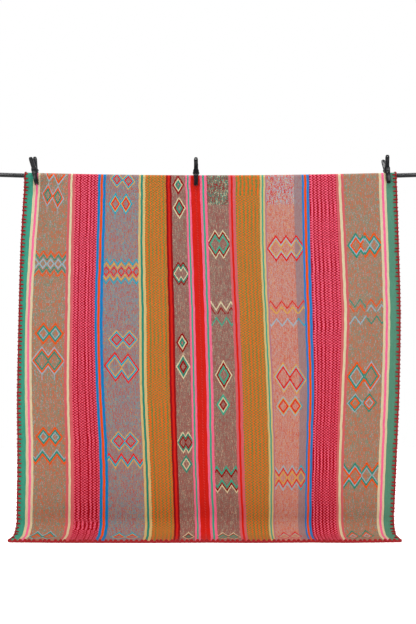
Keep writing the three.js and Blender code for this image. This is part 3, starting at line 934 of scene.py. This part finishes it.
@dataclass(frozen=True)
class Drape:
    """The middle of the rug's thickness as it hangs, in millimetres."""

    turn: float = 11.45  # radius over the rod
    bow: float = 18.0
    half_rod: float = 980.0
    flap: float = 285.0
    crowding: float = 1.15  # how much closer the rows lie near the rod
    lying: float = FLOOR + 1.5
    fold_start: float = 110.0
    fold_full: float = 900.0
    ripple: float = 0.9  # depth of the small waves in the weave
    ripple_start: float = 20.0
    ripple_full: float = 160.0
    rod_radius: float = 9.5
    clearance: float = 0.2
    press_at: float = -741.0  # where a pitched clamp presses the cloth back
    press_slope: float = math.tan(math.radians(16))
    press_flat: float = 16.0
    press_fade: float = 70.0
    press_depth: float = 42.0
    press_end: float = 420.0
    press_slack: float = 0.3

    def rise(self, x: np.ndarray) -> np.ndarray:
        """Height of the bowed rod's axis above its middle."""
        return self.bow * (x / self.half_rod) ** 2

    def wander(self, across: np.ndarray, drop: np.ndarray) -> np.ndarray:
        """How far a point of the rug hangs to the side of its place across.

        Args:
            across: Places across the rug.
            drop: Depths below the rod.

        Returns:
            The sideways moves.
        """
        drops = np.array(WANDER_DROPS, dtype=float)
        moves = zip(*(thread.wander for thread in THREADS))
        known = np.stack([self._across(across, list(row)) for row in moves])
        slopes = np.gradient(known, drops, axis=0)
        deep = np.clip(drop, drops[0], drops[-1])
        cell = np.clip(np.searchsorted(drops, deep) - 1, 0, len(drops) - 2)
        span = drops[cell + 1] - drops[cell]
        share = (deep - drops[cell]) / span
        place = np.arange(len(deep))
        step = share * share * (3 - 2 * share)
        between = known[cell, place] * (1 - step) + known[cell + 1, place] * step
        leaving = slopes[cell, place] * share * (1 - share) ** 2
        arriving = slopes[cell + 1, place] * share * share * (1 - share)
        return between + (leaving - arriving) * span

    def _across(self, across: np.ndarray, values: list[float]) -> np.ndarray:
        """Runs straight between the threads' values, and on past the outer ones.

        Args:
            across: Places across the rug.
            values: One value for each thread.

        Returns:
            The values at those places.
        """
        places = np.array([thread.at for thread in THREADS])
        known = np.array(values, dtype=float)
        cell = np.clip(np.searchsorted(places, across) - 1, 0, len(places) - 2)
        share = (across - places[cell]) / (places[cell + 1] - places[cell])
        return known[cell] + (known[cell + 1] - known[cell]) * share

    def depth(self, across: np.ndarray, drop: np.ndarray) -> np.ndarray:
        """How far the folds bring the cloth towards the viewer.

        Args:
            across: Places across the rug.
            drop: Depths below the rod.

        Returns:
            The depths of the folds.
        """
        total = np.zeros(np.broadcast(across, drop).shape)
        for fold in FOLDS:
            away = np.abs(across - fold.at - fold.drift * drop / WANDER_DROPS[-1]) / fold.half_width
            total = total + fold.depth * np.cos(np.minimum(away, 1) * math.pi / 2) ** 2
        waves = sum(
            wave.size * np.sin(across / wave.wide + drop / wave.slant + wave.start)
            * np.sin(drop / wave.tall + across / wave.lean)
            for wave in WAVES
        )
        small = self.ripple * waves * ease(self.ripple_start, self.ripple_full, drop)
        return total * ease(self.fold_start, self.fold_full, drop) + small

    def pressed(self, x: np.ndarray, deep: np.ndarray) -> np.ndarray:
        """How far the pitched clamp presses the cloth back.

        Args:
            x: Places along the rod.
            deep: Depths below the rod's axis.

        Returns:
            The moves away from the viewer.
        """
        near = 1 - ease(self.press_flat, self.press_fade, np.abs(x - self.press_at))
        push = self.press_slope * np.minimum(deep, self.press_depth) - self.press_slack
        return near * np.maximum(push, 0) * (1 - ease(self.press_depth, self.press_end, deep))

    def room(self, points: np.ndarray) -> np.ndarray:
        """Free space behind the middle of the cloth, before the rod or the floor.

        Args:
            points: Points on the middle of the cloth.

        Returns:
            The space at each point.
        """
        x, y, z = points.T
        to_rod = np.hypot(y, z - self.rise(x)) - self.rod_radius
        return np.minimum(to_rod, z - FLOOR) - self.clearance

    def row(
        self, across: np.ndarray, stretch: Stretch, share: float
    ) -> tuple[np.ndarray, np.ndarray]:
        """One row of points right across the rug.

        Args:
            across: Places across the rug.
            stretch: The stretch of the path that the row is on.
            share: How far along that stretch it is, from 0 to 1.

        Returns:
            The points, and each point's place along the flat rug.
        """
        top_x = across + self.wander(across, np.zeros_like(across))
        rise = self.rise(top_x)
        bend = self._across(across, [thread.bend for thread in THREADS])
        reach = self._across(across, [thread.reach for thread in THREADS])
        bend_top = self.lying + bend
        same = np.ones_like(across)
        if stretch is Stretch.FLAP:
            length = self.flap * (1 - share)
            points = (top_x, self.turn * same, rise - length)
            along = -(math.pi * self.turn + length) * same
        elif stretch is Stretch.OVER:
            angle = math.pi * share
            y = self.turn * math.cos(angle) * same
            points = (top_x, y, rise + self.turn * math.sin(angle))
            along = -(math.pi - angle) * self.turn * same
        elif stretch is Stretch.DROP:
            height = rise + (bend_top - rise) * share ** self.crowding
            x = across + self.wander(across, -height)
            y = self.pressed(top_x, rise - height) - self.turn - self.depth(across, -height)
            points = (x, y, height)
            along = rise - height
        else:
            hanging = -self.turn - self.depth(across, -bend_top)
            begin = across + self.wander(across, -bend_top)
            end = across + self.wander(across, WANDER_DROPS[-1] * same)
            hung = rise - bend_top
            if stretch is Stretch.BEND:
                angle = math.pi / 2 * share
                x = begin + (end - begin) * share
                y = hanging - bend * (1 - math.cos(angle))
                points = (x, y, bend_top - bend * math.sin(angle))
                along = hung + bend * angle
            else:
                near = hanging - bend
                points = (end, near + (-reach - near) * share, self.lying * same)
                along = hung + bend * math.pi / 2 + (near + reach) * share
        return np.stack(points, axis=-1), along

    def grid(self, across: np.ndarray) -> tuple[np.ndarray, np.ndarray]:
        """The rows of points from the flap's end to the hem.

        Args:
            across: Places across the rug.

        Returns:
            The points by row and place, and their places along the flat rug.
        """
        rows = []
        for stretch in Stretch:
            first = 0 if stretch is Stretch.FLAP else 1
            steps = range(first, stretch.value + 1)
            rows += [self.row(across, stretch, step / stretch.value) for step in steps]
        return np.stack([row[0] for row in rows]), np.stack([row[1] for row in rows])


# Meshes from arrays


def quads(grid: np.ndarray, flipped: bool) -> np.ndarray:
    """The four corners of each cell of a grid, which may be taken the other way round.

    Args:
        grid: What is known at each point, by row and column.
        flipped: Whether the corners run along the row first.

    Returns:
        The corners of each cell.
    """
    corners = [grid[:-1, :-1], grid[1:, :-1], grid[1:, 1:], grid[:-1, 1:]]
    order = (0, 3, 2, 1) if flipped else (0, 1, 2, 3)
    return np.stack([corners[at] for at in order], axis=2).reshape(-1, 4, *grid.shape[2:])


@dataclass
class Pile:
    """Vertices, faces and flat places gathered for one mesh."""

    vertices: list[np.ndarray] = field(default_factory=list)
    faces: list[np.ndarray] = field(default_factory=list)
    flats: list[np.ndarray] = field(default_factory=list)
    count: int = 0

    def add(self, vertices: np.ndarray, faces: np.ndarray, flats: np.ndarray) -> None:
        """Adds four-sided faces.

        Args:
            vertices: Points in millimetres.
            faces: Corners of each face, as places in the points.
            flats: Flat place of each face's corners, in millimetres.
        """
        self.vertices.append(vertices)
        self.faces.append(faces + self.count)
        self.flats.append(flats)
        self.count += len(vertices)

    def tube(self, path: np.ndarray, radius: float | np.ndarray, sides: int = 8) -> None:
        """Adds a round strand with closed ends along a path.

        Args:
            path: Points along the strand's middle, in millimetres.
            radius: The strand's radius, or one for each point.
            sides: How many faces go round it.
        """
        apart = np.linalg.norm(np.diff(path, axis=0), axis=1) > 0.05
        kept = np.concatenate([[True], apart])
        radii = np.broadcast_to(np.asarray(radius, dtype=float), len(path))[kept].copy()
        path = path[kept]
        ahead = np.gradient(path, axis=0)
        turned = np.linalg.norm(ahead, axis=1) < 0.02  # where the path runs back on itself
        ahead[turned] = np.diff(path, axis=0, append=path[-1:])[turned]
        ahead /= np.linalg.norm(ahead, axis=1, keepdims=True)
        side = np.cross(ahead[0], (0.31, 0.52, 0.80))
        girth = 2 * math.pi * radii.mean()
        radii[[0, -1]] *= 0.45
        steps = np.linalg.norm(np.diff(path, axis=0), axis=1)
        run = np.concatenate([[0.0], np.cumsum(steps)])
        turns = np.arange(sides) * 2 * math.pi / sides
        rings = []
        for point, forward, wide in zip(path, ahead, radii):
            side = side - forward * side.dot(forward)
            side = side / np.linalg.norm(side)
            other = np.cross(forward, side)
            around = np.outer(np.cos(turns), side) + np.outer(np.sin(turns), other)
            rings.append(point + wide * around)
        vertices = np.concatenate(rings + [path[:1], path[-1:]])
        ring = np.arange(len(path))[:, None] * sides
        faces = quads(ring + np.arange(sides + 1) % sides, True)
        around = np.broadcast_to(girth * np.arange(sides + 1) / sides, (len(path), sides + 1))
        flat = np.stack([around, np.broadcast_to(run[:, None], around.shape)], axis=-1)
        last = (len(path) - 1) * sides
        start, end = len(vertices) - 2, len(vertices) - 1
        caps = []
        for step in range(0, sides, 2):
            a, b, c = step, (step + 1) % sides, (step + 2) % sides
            caps += [(start, c, b, a), (end, last + a, last + b, last + c)]
        cap_flats = np.zeros((len(caps), 4, 2))
        cap_flats[1::2, :, 1] = run[-1]
        flats = np.concatenate([quads(flat, True), cap_flats])
        self.add(vertices, np.concatenate([faces, caps]), flats)

    def mesh(self, name: str) -> bpy.types.Object:
        """Turns the pile into an object at the origin.

        Args:
            name: The object's name.

        Returns:
            The new object, linked and smooth.
        """
        data = bpy.data.meshes.new(name)
        vertices = np.concatenate(self.vertices) * MM
        faces = np.concatenate(self.faces)
        data.from_pydata(vertices.tolist(), [], faces.tolist())
        flat = data.uv_layers.new(name=FLAT_MAP)
        flat.data.foreach_set("uv", (np.concatenate(self.flats) * MM).astype(np.float32).ravel())
        data.polygons.foreach_set("use_smooth", [True] * len(data.polygons))
        data.update()
        made = bpy.data.objects.new(name, data)
        bpy.context.scene.collection.objects.link(made)
        return made


def alone(made: bpy.types.Object) -> None:
    """Makes one object the only one selected, and the active one.

    Args:
        made: The object.
    """
    bpy.ops.object.select_all(action="DESELECT")
    made.select_set(True)
    bpy.context.view_layer.objects.active = made


def dress(
    made: bpy.types.Object, material: bpy.types.Material, slot: str, *nodes: str
) -> bpy.types.Object:
    """Gives a piece its finish and its place on the model.

    Args:
        made: The piece.
        material: Its material.
        slot: Not used.
        nodes: The plain solids that it stands for.

    Returns:
        The piece.
    """
    made.data.materials.clear()
    made.data.materials.append(material)
    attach(made, BODY)
    if nodes:
        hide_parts(*nodes)
    LOG.info("%s: %d faces", made.name, len(made.data.polygons))
    return made


# The rug


@dataclass
class Panel:
    """One woven panel of the rug, in millimetres across."""

    name: str
    node: str
    slot: str
    left: float
    right: float
    bands: tuple[Band, ...]
    cell: float = 6.0
    thickness: float = 3.0
    length: float = 1930.0
    smooth: float = 50.0  # degrees

    def build(self, drape: Drape) -> bpy.types.Object:
        """Makes the panel's sheet.

        Args:
            drape: The way the rug hangs.

        Returns:
            The dressed panel.
        """
        count = round((self.right - self.left) / self.cell) + 1
        across = np.linspace(self.left, self.right, count)
        points, along = drape.grid(across)
        rows, columns = points.shape[:2]
        number = np.arange(rows * columns).reshape(rows, columns)
        flat = np.stack([np.broadcast_to(across, along.shape), along], axis=-1)
        pile = Pile()
        pile.add(points.reshape(-1, 3), quads(number, False), quads(flat, False))
        made = pile.mesh(self.name)
        alone(made)
        wall = made.modifiers.new("Thickness", "SOLIDIFY")
        wall.thickness = self.thickness * MM
        wall.offset = 0.0
        bpy.ops.object.modifier_apply(modifier=wall.name)
        bpy.ops.object.shade_smooth_by_angle(angle=math.radians(self.smooth))
        finish = WovenFinish(f"weave_{self.name}", self.left, self.bands)
        return dress(made, finish.material(), self.slot, self.node)


@dataclass
class Line:
    """An edge of the rug: points, and the ways out of the cloth, off its face and along it."""

    points: np.ndarray
    out: np.ndarray
    face: np.ndarray
    run: np.ndarray
    room: np.ndarray  # free space behind the middle of the cloth, before the rod or the floor

    def room_at(self, place: np.ndarray) -> np.ndarray:
        """The free space behind the cloth at lengths along the edge."""
        return np.interp(place, self.run, self.room)

    @classmethod
    def of(cls, drape: Drape, points: np.ndarray, inner: np.ndarray, turn: int) -> "Line":
        """Works out an edge from its points and the points just inside it.

        Args:
            drape: The way the rug hangs.
            points: Points along the edge.
            inner: Points of the cloth just inside them.
            turn: 1 where the way along, then the way out, turn towards the outer face, else -1.

        Returns:
            The edge.
        """
        ahead = np.gradient(points, axis=0)
        ahead /= np.linalg.norm(ahead, axis=1, keepdims=True)
        out = points - inner
        out -= ahead * np.sum(out * ahead, axis=1, keepdims=True)
        out /= np.linalg.norm(out, axis=1, keepdims=True)
        face = np.cross(ahead, out) * turn
        steps = np.linalg.norm(np.diff(points, axis=0), axis=1)
        run = np.concatenate([[0.0], np.cumsum(steps)])
        return cls(points, out, face, run, drape.room(points))

    def at(self, place: np.ndarray, out: np.ndarray, face: np.ndarray) -> np.ndarray:
        """Points beside the edge.

        Args:
            place: Lengths along the edge.
            out: Distances out from it.
            face: Distances off the cloth's middle.

        Returns:
            The points.
        """
        points, outward, off = (
            np.stack([np.interp(place, self.run, axis) for axis in values.T], axis=-1)
            for values in (self.points, self.out, self.face)
        )
        return points + outward * out[:, None] + off * face[:, None]


@dataclass
class Edging:
    """Blanket stitch of wool along one edge of the rug, in millimetres."""

    name: str
    node: str
    pitch: float
    seed: int
    cord_radius: float = 3.7
    knot_radius: float = 4.9
    rest_every: int = 1  # of the stitches that lie on the floor, how many are sewn
    half_cloth: float = 1.5
    leg_reach: float = 12.0
    leg_radius: float = 2.1
    cord_out: float = 0.8
    cord_swell: float = 2.8
    loop_steps: int = 8
    cord_sides: int = 8
    leg_sides: int = 6
    end_gap: float = 4.0
    uneven: float = 0.16  # how far a stitch strays along the edge, in stitches

    def build(self, line: Line, material: bpy.types.Material) -> bpy.types.Object:
        """Sews the stitches.

        Args:
            line: The edge they are sewn over.
            material: The wool.

        Returns:
            The dressed edging.
        """
        chance = np.random.default_rng(self.seed)
        total = line.run[-1] - 2 * self.end_gap
        count = round(total / self.pitch)
        knots = self.end_gap + np.linspace(0, total, count + 1)
        knots[1:-1] += chance.uniform(-self.uneven, self.uneven, count - 1) * self.pitch
        pile = Pile()
        self._cord(pile, line, knots, chance)
        resting = line.room_at(knots) < self.knot_radius
        for index, (knot, rests) in enumerate(zip(knots, resting)):
            if not rests or index % self.rest_every == 0:
                self._leg(pile, line, knot, rests, chance)
        return dress(pile.mesh(self.name), material, "edging_yarn", self.node)

    def _cord(
        self, pile: Pile, line: Line, knots: np.ndarray, chance: np.random.Generator
    ) -> None:
        """Lays the cord along the edge, a little slack between the knots.

        Args:
            pile: The mesh being gathered.
            line: The edge.
            knots: Lengths along it where a stitch holds the cord.
            chance: The source of its unevenness.
        """
        steps = np.arange(self.loop_steps) / self.loop_steps
        gaps = np.diff(knots)
        place = (knots[:-1, None] + gaps[:, None] * steps).ravel()
        place = np.append(place, knots[-1])
        arch = np.tile(np.sin(math.pi * steps), len(gaps))
        slack = np.repeat(chance.uniform(0.5, 1.0, len(gaps)), self.loop_steps)
        sway = np.repeat(chance.uniform(-0.5, 0.5, len(gaps)), self.loop_steps)
        out = self.cord_out + self.cord_swell * np.append(arch * slack, 0.0)
        face = np.append(sway * arch, 0.0)
        face = np.maximum(face, self.cord_radius - line.room_at(place))
        pile.tube(line.at(place, out, face), self.cord_radius, self.cord_sides)

    def _leg(
        self, pile: Pile, line: Line, knot: float, rests: bool, chance: np.random.Generator
    ) -> None:
        """Sews one stitch over the edge, on both faces of the cloth or on the free one.

        Args:
            pile: The mesh being gathered.
            line: The edge.
            knot: The length along the edge where it stands.
            rests: Whether the cloth's back rests on the floor there.
            chance: The source of its unevenness.
        """
        deep = -self.leg_reach * chance.uniform(0.8, 1.12)
        lean = chance.uniform(-1.6, 1.6)
        lift = self.half_cloth + self.leg_radius * 0.7
        share = np.array([1, 1, 0.55, 0, 0, 0])  # of the leg's reach, from its foot to the knot
        out = deep * share + np.array([0, 0, 0, 0.2, 2.6, 4.2])
        face = np.array([0.3, 0.9, 1.0, 1.12, 0.95, 0.0]) * lift
        if not rests:
            share, out = (np.concatenate([half, half[-2::-1]]) for half in (share, out))
            face = np.concatenate([face, -face[-2::-1]])
        place = knot + lean * share
        radii = self.knot_radius + (self.leg_radius - self.knot_radius) * share
        face = np.maximum(face, radii - line.room_at(place))
        pile.tube(line.at(place, out, face), radii, self.leg_sides)


@dataclass
class Seam:
    """The cord and the small slanting stitches that join the two panels, in millimetres."""

    name: str = "seam_stitches"
    pitch: float = 11.0
    half_width: float = 3.6
    radius: float = 0.9
    cord_radius: float = 1.5
    cord_step: float = 6.0
    cord_gap: float = 1.0
    start_gap: float = 12.0
    end_gap: float = 8.0
    slant: float = 0.42  # of the pitch
    seed: int = 5

    def build(self, line: Line, material: bpy.types.Material) -> bpy.types.Object:
        """Sews the seam.

        Args:
            line: The meeting edge of the panels.
            material: The yarn.

        Returns:
            The dressed seam.
        """
        chance = np.random.default_rng(self.seed)
        pile = Pile()
        run = np.arange(self.cord_gap, line.run[-1] - self.cord_gap, self.cord_step)
        face = np.maximum(0.2, self.cord_radius - line.room_at(run))
        pile.tube(line.at(run, np.zeros_like(run), face), self.cord_radius)
        turn = np.linspace(0, 1, 7)
        for place in np.arange(self.start_gap, line.run[-1] - self.end_gap, self.pitch):
            wide = self.half_width * chance.uniform(0.8, 1.15)
            out = wide * (2 * turn - 1)
            for side in (1, -1):
                lengths = place + self.pitch * self.slant * turn + chance.uniform(-1, 1)
                face = side * (1.0 + np.sin(math.pi * turn) ** 0.6)
                face = np.maximum(face, self.radius - line.room_at(lengths))
                pile.tube(line.at(lengths, out, face), self.radius, 6)
        return dress(pile.mesh(self.name), material, "edging_yarn")


# The rod and the clamps


@dataclass
class Rod:
    """The bowed black rod, in metres."""

    name: str = "hanging_rod"
    node: str = "rod"
    radius: float = 0.0095
    length: float = 1.96
    bow: float = 0.018
    sides: int = 40
    steps: int = 60
    rounding: float = 0.0018
    smooth: float = 40.0  # degrees

    def build(self) -> bpy.types.Object:
        """Models the rod from a cylinder.

        Returns:
            The dressed rod.
        """
        bpy.ops.object.select_all(action="DESELECT")
        bpy.ops.mesh.primitive_cylinder_add(
            vertices=self.sides, radius=self.radius, depth=self.length, rotation=(0, math.pi / 2, 0)
        )
        made = bpy.context.active_object
        made.name = self.name
        bpy.ops.object.transform_apply(location=True, rotation=True, scale=True)
        bpy.ops.object.mode_set(mode="EDIT")
        bpy.ops.mesh.select_all(action="SELECT")
        bpy.ops.mesh.bevel(offset=self.rounding, segments=3, affect="EDGES", clamp_overlap=True)
        bpy.ops.mesh.select_all(action="SELECT")
        for step in range(1, self.steps):
            x = self.length * (step / self.steps - 0.5)
            bpy.ops.mesh.bisect(plane_co=(x, 0, 0), plane_no=(1, 0, 0))
            bpy.ops.mesh.select_all(action="SELECT")
        bpy.ops.object.mode_set(mode="OBJECT")
        for vertex in made.data.vertices:
            vertex.co.z += self.bow * (vertex.co.x / (self.length / 2)) ** 2
        alone(made)
        bpy.ops.object.shade_smooth_by_angle(angle=math.radians(self.smooth))
        finish = MouldedFinish(
            "rod_black", linear(9, 10, 12), linear(14, 15, 17), 0.14, 260.0, 0.00001, gloss=0.2
        )
        return dress(made, finish.material(), "rod_black", self.node)


@dataclass
class Clamp:
    """One spring clamp: where it stands on the rod and how it leans, in millimetres and degrees."""

    side: str
    at: float
    lean: float
    pitch: float
    pivot: float = 22.5
    coil: float = 5.2
    wire: float = 1.1
    turns: int = 4
    turn_steps: int = 16
    leg_steps: int = 5
    half_coil: float = 3.6
    leg_side: float = 3.8
    leg_out: float = 14.0
    leg_top: float = 41.0
    rounding: float = 0.0009  # metres
    merge: float = 0.00001  # metres
    level: float = 1.0  # faces closer to level than this are one
    sharp: float = 35.0
    smooth: float = 45.0

    def build(
        self,
        drape: Drape,
        nylon: bpy.types.Material,
        pad: bpy.types.Material,
        steel: bpy.types.Material,
    ) -> None:
        """Rounds and dresses the clamp's solids and winds its spring.

        Args:
            drape: The way the rug and the rod hang.
            nylon: Finish of the levers.
            pad: Finish of the pads.
            steel: Finish of the pin and the spring.
        """
        for part, material, slot in (
            ("front_lever", nylon, "clamp_nylon"),
            ("back_lever", nylon, "clamp_nylon"),
            ("front_pad", pad, "clamp_pad"),
            ("back_pad", pad, "clamp_pad"),
            ("pin", steel, "clamp_steel"),
        ):
            self._rounded(f"clamp_{self.side}_{part}", material, slot)
        self._spring(drape, steel)

    def _rounded(self, node: str, material: bpy.types.Material, slot: str) -> None:
        """Makes a copy of a solid with its edges rounded off.

        Args:
            node: The solid's name.
            material: Its finish.
            slot: Handed on to dress, which does not use it.
        """
        solid = bpy.data.objects[node]
        made = bpy.data.objects.new(f"{node}_rounded", solid.data.copy())
        bpy.context.scene.collection.objects.link(made)
        alone(made)
        bpy.ops.object.mode_set(mode="EDIT")
        bpy.ops.mesh.select_all(action="SELECT")
        bpy.ops.mesh.remove_doubles(threshold=self.merge)
        bpy.ops.mesh.dissolve_limited(angle_limit=math.radians(self.level))
        bpy.ops.object.mode_set(mode="OBJECT")
        edges = made.modifiers.new("Rounding", "BEVEL")
        edges.width = self.rounding
        edges.segments = 2
        edges.limit_method = "ANGLE"
        edges.angle_limit = math.radians(self.sharp)
        bpy.ops.object.modifier_apply(modifier=edges.name)
        bpy.ops.object.shade_smooth_by_angle(angle=math.radians(self.smooth))
        dress(made, material, slot, node)

    def _spring(self, drape: Drape, steel: bpy.types.Material) -> None:
        """Winds the spring round the pin, with a leg up each handle.

        Args:
            drape: The way the rug and the rod hang.
            steel: The spring's finish.
        """
        turn = np.linspace(0, self.turns, self.turns * self.turn_steps + 1) * 2 * math.pi
        x = np.linspace(-self.half_coil, self.half_coil, len(turn))
        y, z = -self.coil * np.cos(turn), self.pivot - self.coil * np.sin(turn)
        coil = np.stack([x, y, z], axis=-1)[:-self.turn_steps // 2]
        rise = np.linspace(0, 1, self.leg_steps + 1)[1:, None]
        tip = np.array([self.leg_side, self.leg_out, self.leg_top])
        front = coil[0] + rise * (tip * (-1, -1, 1) - coil[0])
        back = coil[-1] + rise * (tip - coil[-1])
        pile = Pile()
        pile.tube(self._placed(np.concatenate([front[::-1], coil, back]), drape), self.wire)
        made = pile.mesh(f"clamp_{self.side}_coil")
        dress(made, steel, "clamp_steel", f"clamp_{self.side}_spring")

    def _placed(self, points: np.ndarray, drape: Drape) -> np.ndarray:
        """Stands points of the clamp's own frame on the rod.

        Args:
            points: Points in the clamp's own frame.
            drape: The way the rug and the rod hang.

        Returns:
            The points in the rug's frame.
        """
        lean, pitch = math.radians(self.lean), math.radians(self.pitch)
        x = points[:, 0] * math.cos(lean) + points[:, 2] * math.sin(lean)
        z = points[:, 2] * math.cos(lean) - points[:, 0] * math.sin(lean)
        y = points[:, 1] * math.cos(pitch) - z * math.sin(pitch)
        z = points[:, 1] * math.sin(pitch) + z * math.cos(pitch)
        rise = float(drape.rise(np.array(self.at)))
        return np.stack([self.at + x, y, rise + z], axis=-1)


# The studio


@dataclass
class Studio:
    """Floor, lights and camera, in metres and degrees."""

    eye: tuple[float, float, float] = (-0.007, -3.2115, -0.7741)
    tilt: float = 93.6
    lens: float = 43.96  # millimetres, and so is the sensor
    sensor: float = 36.0
    floor_width: float = 6.0
    floor_near: float = -1.4
    floor_far: float = 3.0
    floor_gap: float = 0.0004  # under the rug
    floor_glow: float = 0.5
    sky: float = 1.0
    dim_sky: float = 0.2  # behind the viewer
    key: float = 38.5  # each of the tall lamps
    top: float = 148.0

    def build(self) -> None:
        """Sets up the studio."""
        self._floor()
        self._light()
        self._camera()

    def _floor(self) -> None:
        """Lays the floor."""
        bpy.ops.object.select_all(action="DESELECT")
        bpy.ops.mesh.primitive_plane_add(size=1.0, location=(0, 0, 0))
        floor = bpy.context.active_object
        floor.name = "studio_floor"
        bpy.ops.object.mode_set(mode="EDIT")
        bpy.ops.mesh.select_all(action="SELECT")
        deep = self.floor_far - self.floor_near
        bpy.ops.transform.resize(value=(self.floor_width, deep, 1.0))
        height = FLOOR * MM - self.floor_gap
        bpy.ops.transform.translate(value=(0, self.floor_near + deep / 2, height))
        bpy.ops.object.mode_set(mode="OBJECT")
        white, mottled = (0.93, 0.93, 0.93, 1.0), (0.916, 0.916, 0.916, 1.0)
        finish = FloorFinish("floor_white", white, mottled, self.floor_glow)
        floor.data.materials.append(finish.material())

    def _light(self) -> None:
        """Lights the room: a sky that is dim behind the viewer, two tall lamps and one above."""
        world = bpy.data.worlds.new("studio_sky")
        bpy.context.scene.world = world
        recipe = Recipe(world)
        toward = recipe.node("ShaderNodeTexCoord", {}, {}).outputs["Generated"]
        split = recipe.node("ShaderNodeSeparateXYZ", {}, {0: toward})
        ahead = Value(recipe, split.outputs[1])
        share = (ahead * 2 + 0.6).clipped()
        glow = self.dim_sky + share * (self.sky - self.dim_sky)
        inputs = {"Color": (1.0, 1.0, 1.0, 1.0), "Strength": glow}
        sky = recipe.node("ShaderNodeBackground", {}, inputs)
        recipe.node("ShaderNodeOutputWorld", {}, {"Surface": sky.outputs[0]})
        for name, side in (("lamp_left", -1), ("lamp_right", 1)):
            self._lamp(name, (side * 1.65, -2.5, 0.2), (75, side * 33), (0.5, 2.4), self.key)
        self._lamp("lamp_top", (0.0, -1.1, 3.0), (5, 0), (3.6, 0.3), self.top)

    def _lamp(
        self,
        name: str,
        place: tuple[float, float, float],
        turn: tuple[float, float],
        size: tuple[float, float],
        power: float,
    ) -> None:
        """Hangs one flat lamp.

        Args:
            name: Its name.
            place: Where its middle hangs.
            turn: How far it is turned up from facing the floor, then about the upright.
            size: Its width and height.
            power: Its power in watts.
        """
        data = bpy.data.lights.new(name, "AREA")
        data.energy = power
        data.shape = "RECTANGLE"
        data.size, data.size_y = size
        lamp = bpy.data.objects.new(name, data)
        lamp.location = place
        lamp.rotation_euler = (math.radians(turn[0]), 0, math.radians(turn[1]))
        bpy.context.scene.collection.objects.link(lamp)

    def _camera(self) -> None:
        """Stands the camera where the photograph was taken from."""
        data = bpy.data.cameras.new("studio_camera")
        data.lens = self.lens
        data.sensor_width = self.sensor
        camera = bpy.data.objects.new("studio_camera", data)
        camera.location = self.eye
        camera.rotation_euler = (math.radians(self.tilt), 0, 0)
        bpy.context.scene.collection.objects.link(camera)
        bpy.context.scene.camera = camera
        bpy.context.scene.view_settings.view_transform = "Standard"


# Millimetres
CLOTH_LEFT, CLOTH_SEAM, CLOTH_RIGHT = -792.0, -46.0, 782.0
HALF_GAP = 0.15  # from the seam to each panel
INSIDE = 2.0  # from an edge to the points that tell which way is out
SIDE_PITCH = 17.5
HEM_POINTS = 400


def main() -> None:
    """Builds the rug, its rod and clamps, and the studio."""
    logging.basicConfig(level=logging.INFO, format="%(message)s")
    drape = Drape()
    left = Panel(
        "rug_panel_left", "panel_left", "woven_left",
        CLOTH_LEFT, CLOTH_SEAM - HALF_GAP, LEFT_BANDS,
    )
    right = Panel(
        "rug_panel_right", "panel_right", "woven_right",
        CLOTH_SEAM + HALF_GAP, CLOTH_RIGHT, RIGHT_BANDS,
    )
    left_sheet = left.build(drape)
    right_sheet = right.build(drape)
    # each wool's second colour is painted shade in the grooves of its plies, and random fuzz tone
    wool = YarnFinish("wool_dark_red", linear(156, 8, 16), linear(92, 2, 9)).material()
    red = YarnFinish("wool_red", linear(206, 38, 30), linear(150, 20, 18)).material()
    for name, node, at, turn, seed in (
        ("stitch_left", "edging_left", CLOTH_LEFT, -1, 11),
        ("stitch_right", "edging_right", CLOTH_RIGHT, 1, 12),
    ):
        edge = drape.grid(np.array([at, at - turn * INSIDE]))[0]
        line = Line.of(drape, edge[:, 0], edge[:, 1], turn)
        edging = Edging(name, node, SIDE_PITCH, seed, rest_every=3)
        edging.build(line, wool)
    across = np.linspace(CLOTH_LEFT, CLOTH_RIGHT, HEM_POINTS)
    for name, node, stretch, share, inner, turn, pitch, seed, cord, knot in (
        ("stitch_front", "edging_front", Stretch.RUN, 1.0, 0.9, -1, 20.0, 13, 4.4, 7.6),
        ("stitch_back", "edging_back", Stretch.FLAP, 0.0, 0.01, 1, 15.5, 14, 3.2, 3.8),
    ):
        rows = [drape.row(across, stretch, place)[0] for place in (share, inner)]
        line = Line.of(drape, *rows, turn)
        Edging(name, node, pitch, seed, cord, knot).build(line, wool)
    middle = drape.grid(np.array([CLOTH_SEAM, CLOTH_SEAM - INSIDE]))[0]
    seam = Seam().build(Line.of(drape, middle[:, 0], middle[:, 1], 1), red)
    (left.right - left.left) * MM
    (right.right - right.left) * MM
    Rod().build()
    nylon = MouldedFinish(
        "clamp_nylon", linear(10, 12, 15), linear(22, 24, 28), 0.3, 900.0, 0.0001, gloss=0.25
    ).material()
    pad = MouldedFinish(
        "clamp_pad", linear(24, 23, 24), linear(40, 38, 38), 0.7, 700.0, 0.0003, gloss=0.15
    ).material()
    steel = MouldedFinish(
        "clamp_steel", linear(70, 70, 72), linear(120, 120, 122), 0.34, 500.0, 0.0001, metal=1.0
    ).material()
    for clamp in (
        Clamp("left", at=-741, lean=-8, pitch=16),
        Clamp("middle", at=-58, lean=0, pitch=0),
        Clamp("right", at=757, lean=-4.5, pitch=0),
    ):
        clamp.build(drape, nylon, pad, steel)
    Studio().build()


if __name__ == "__main__":
    main()
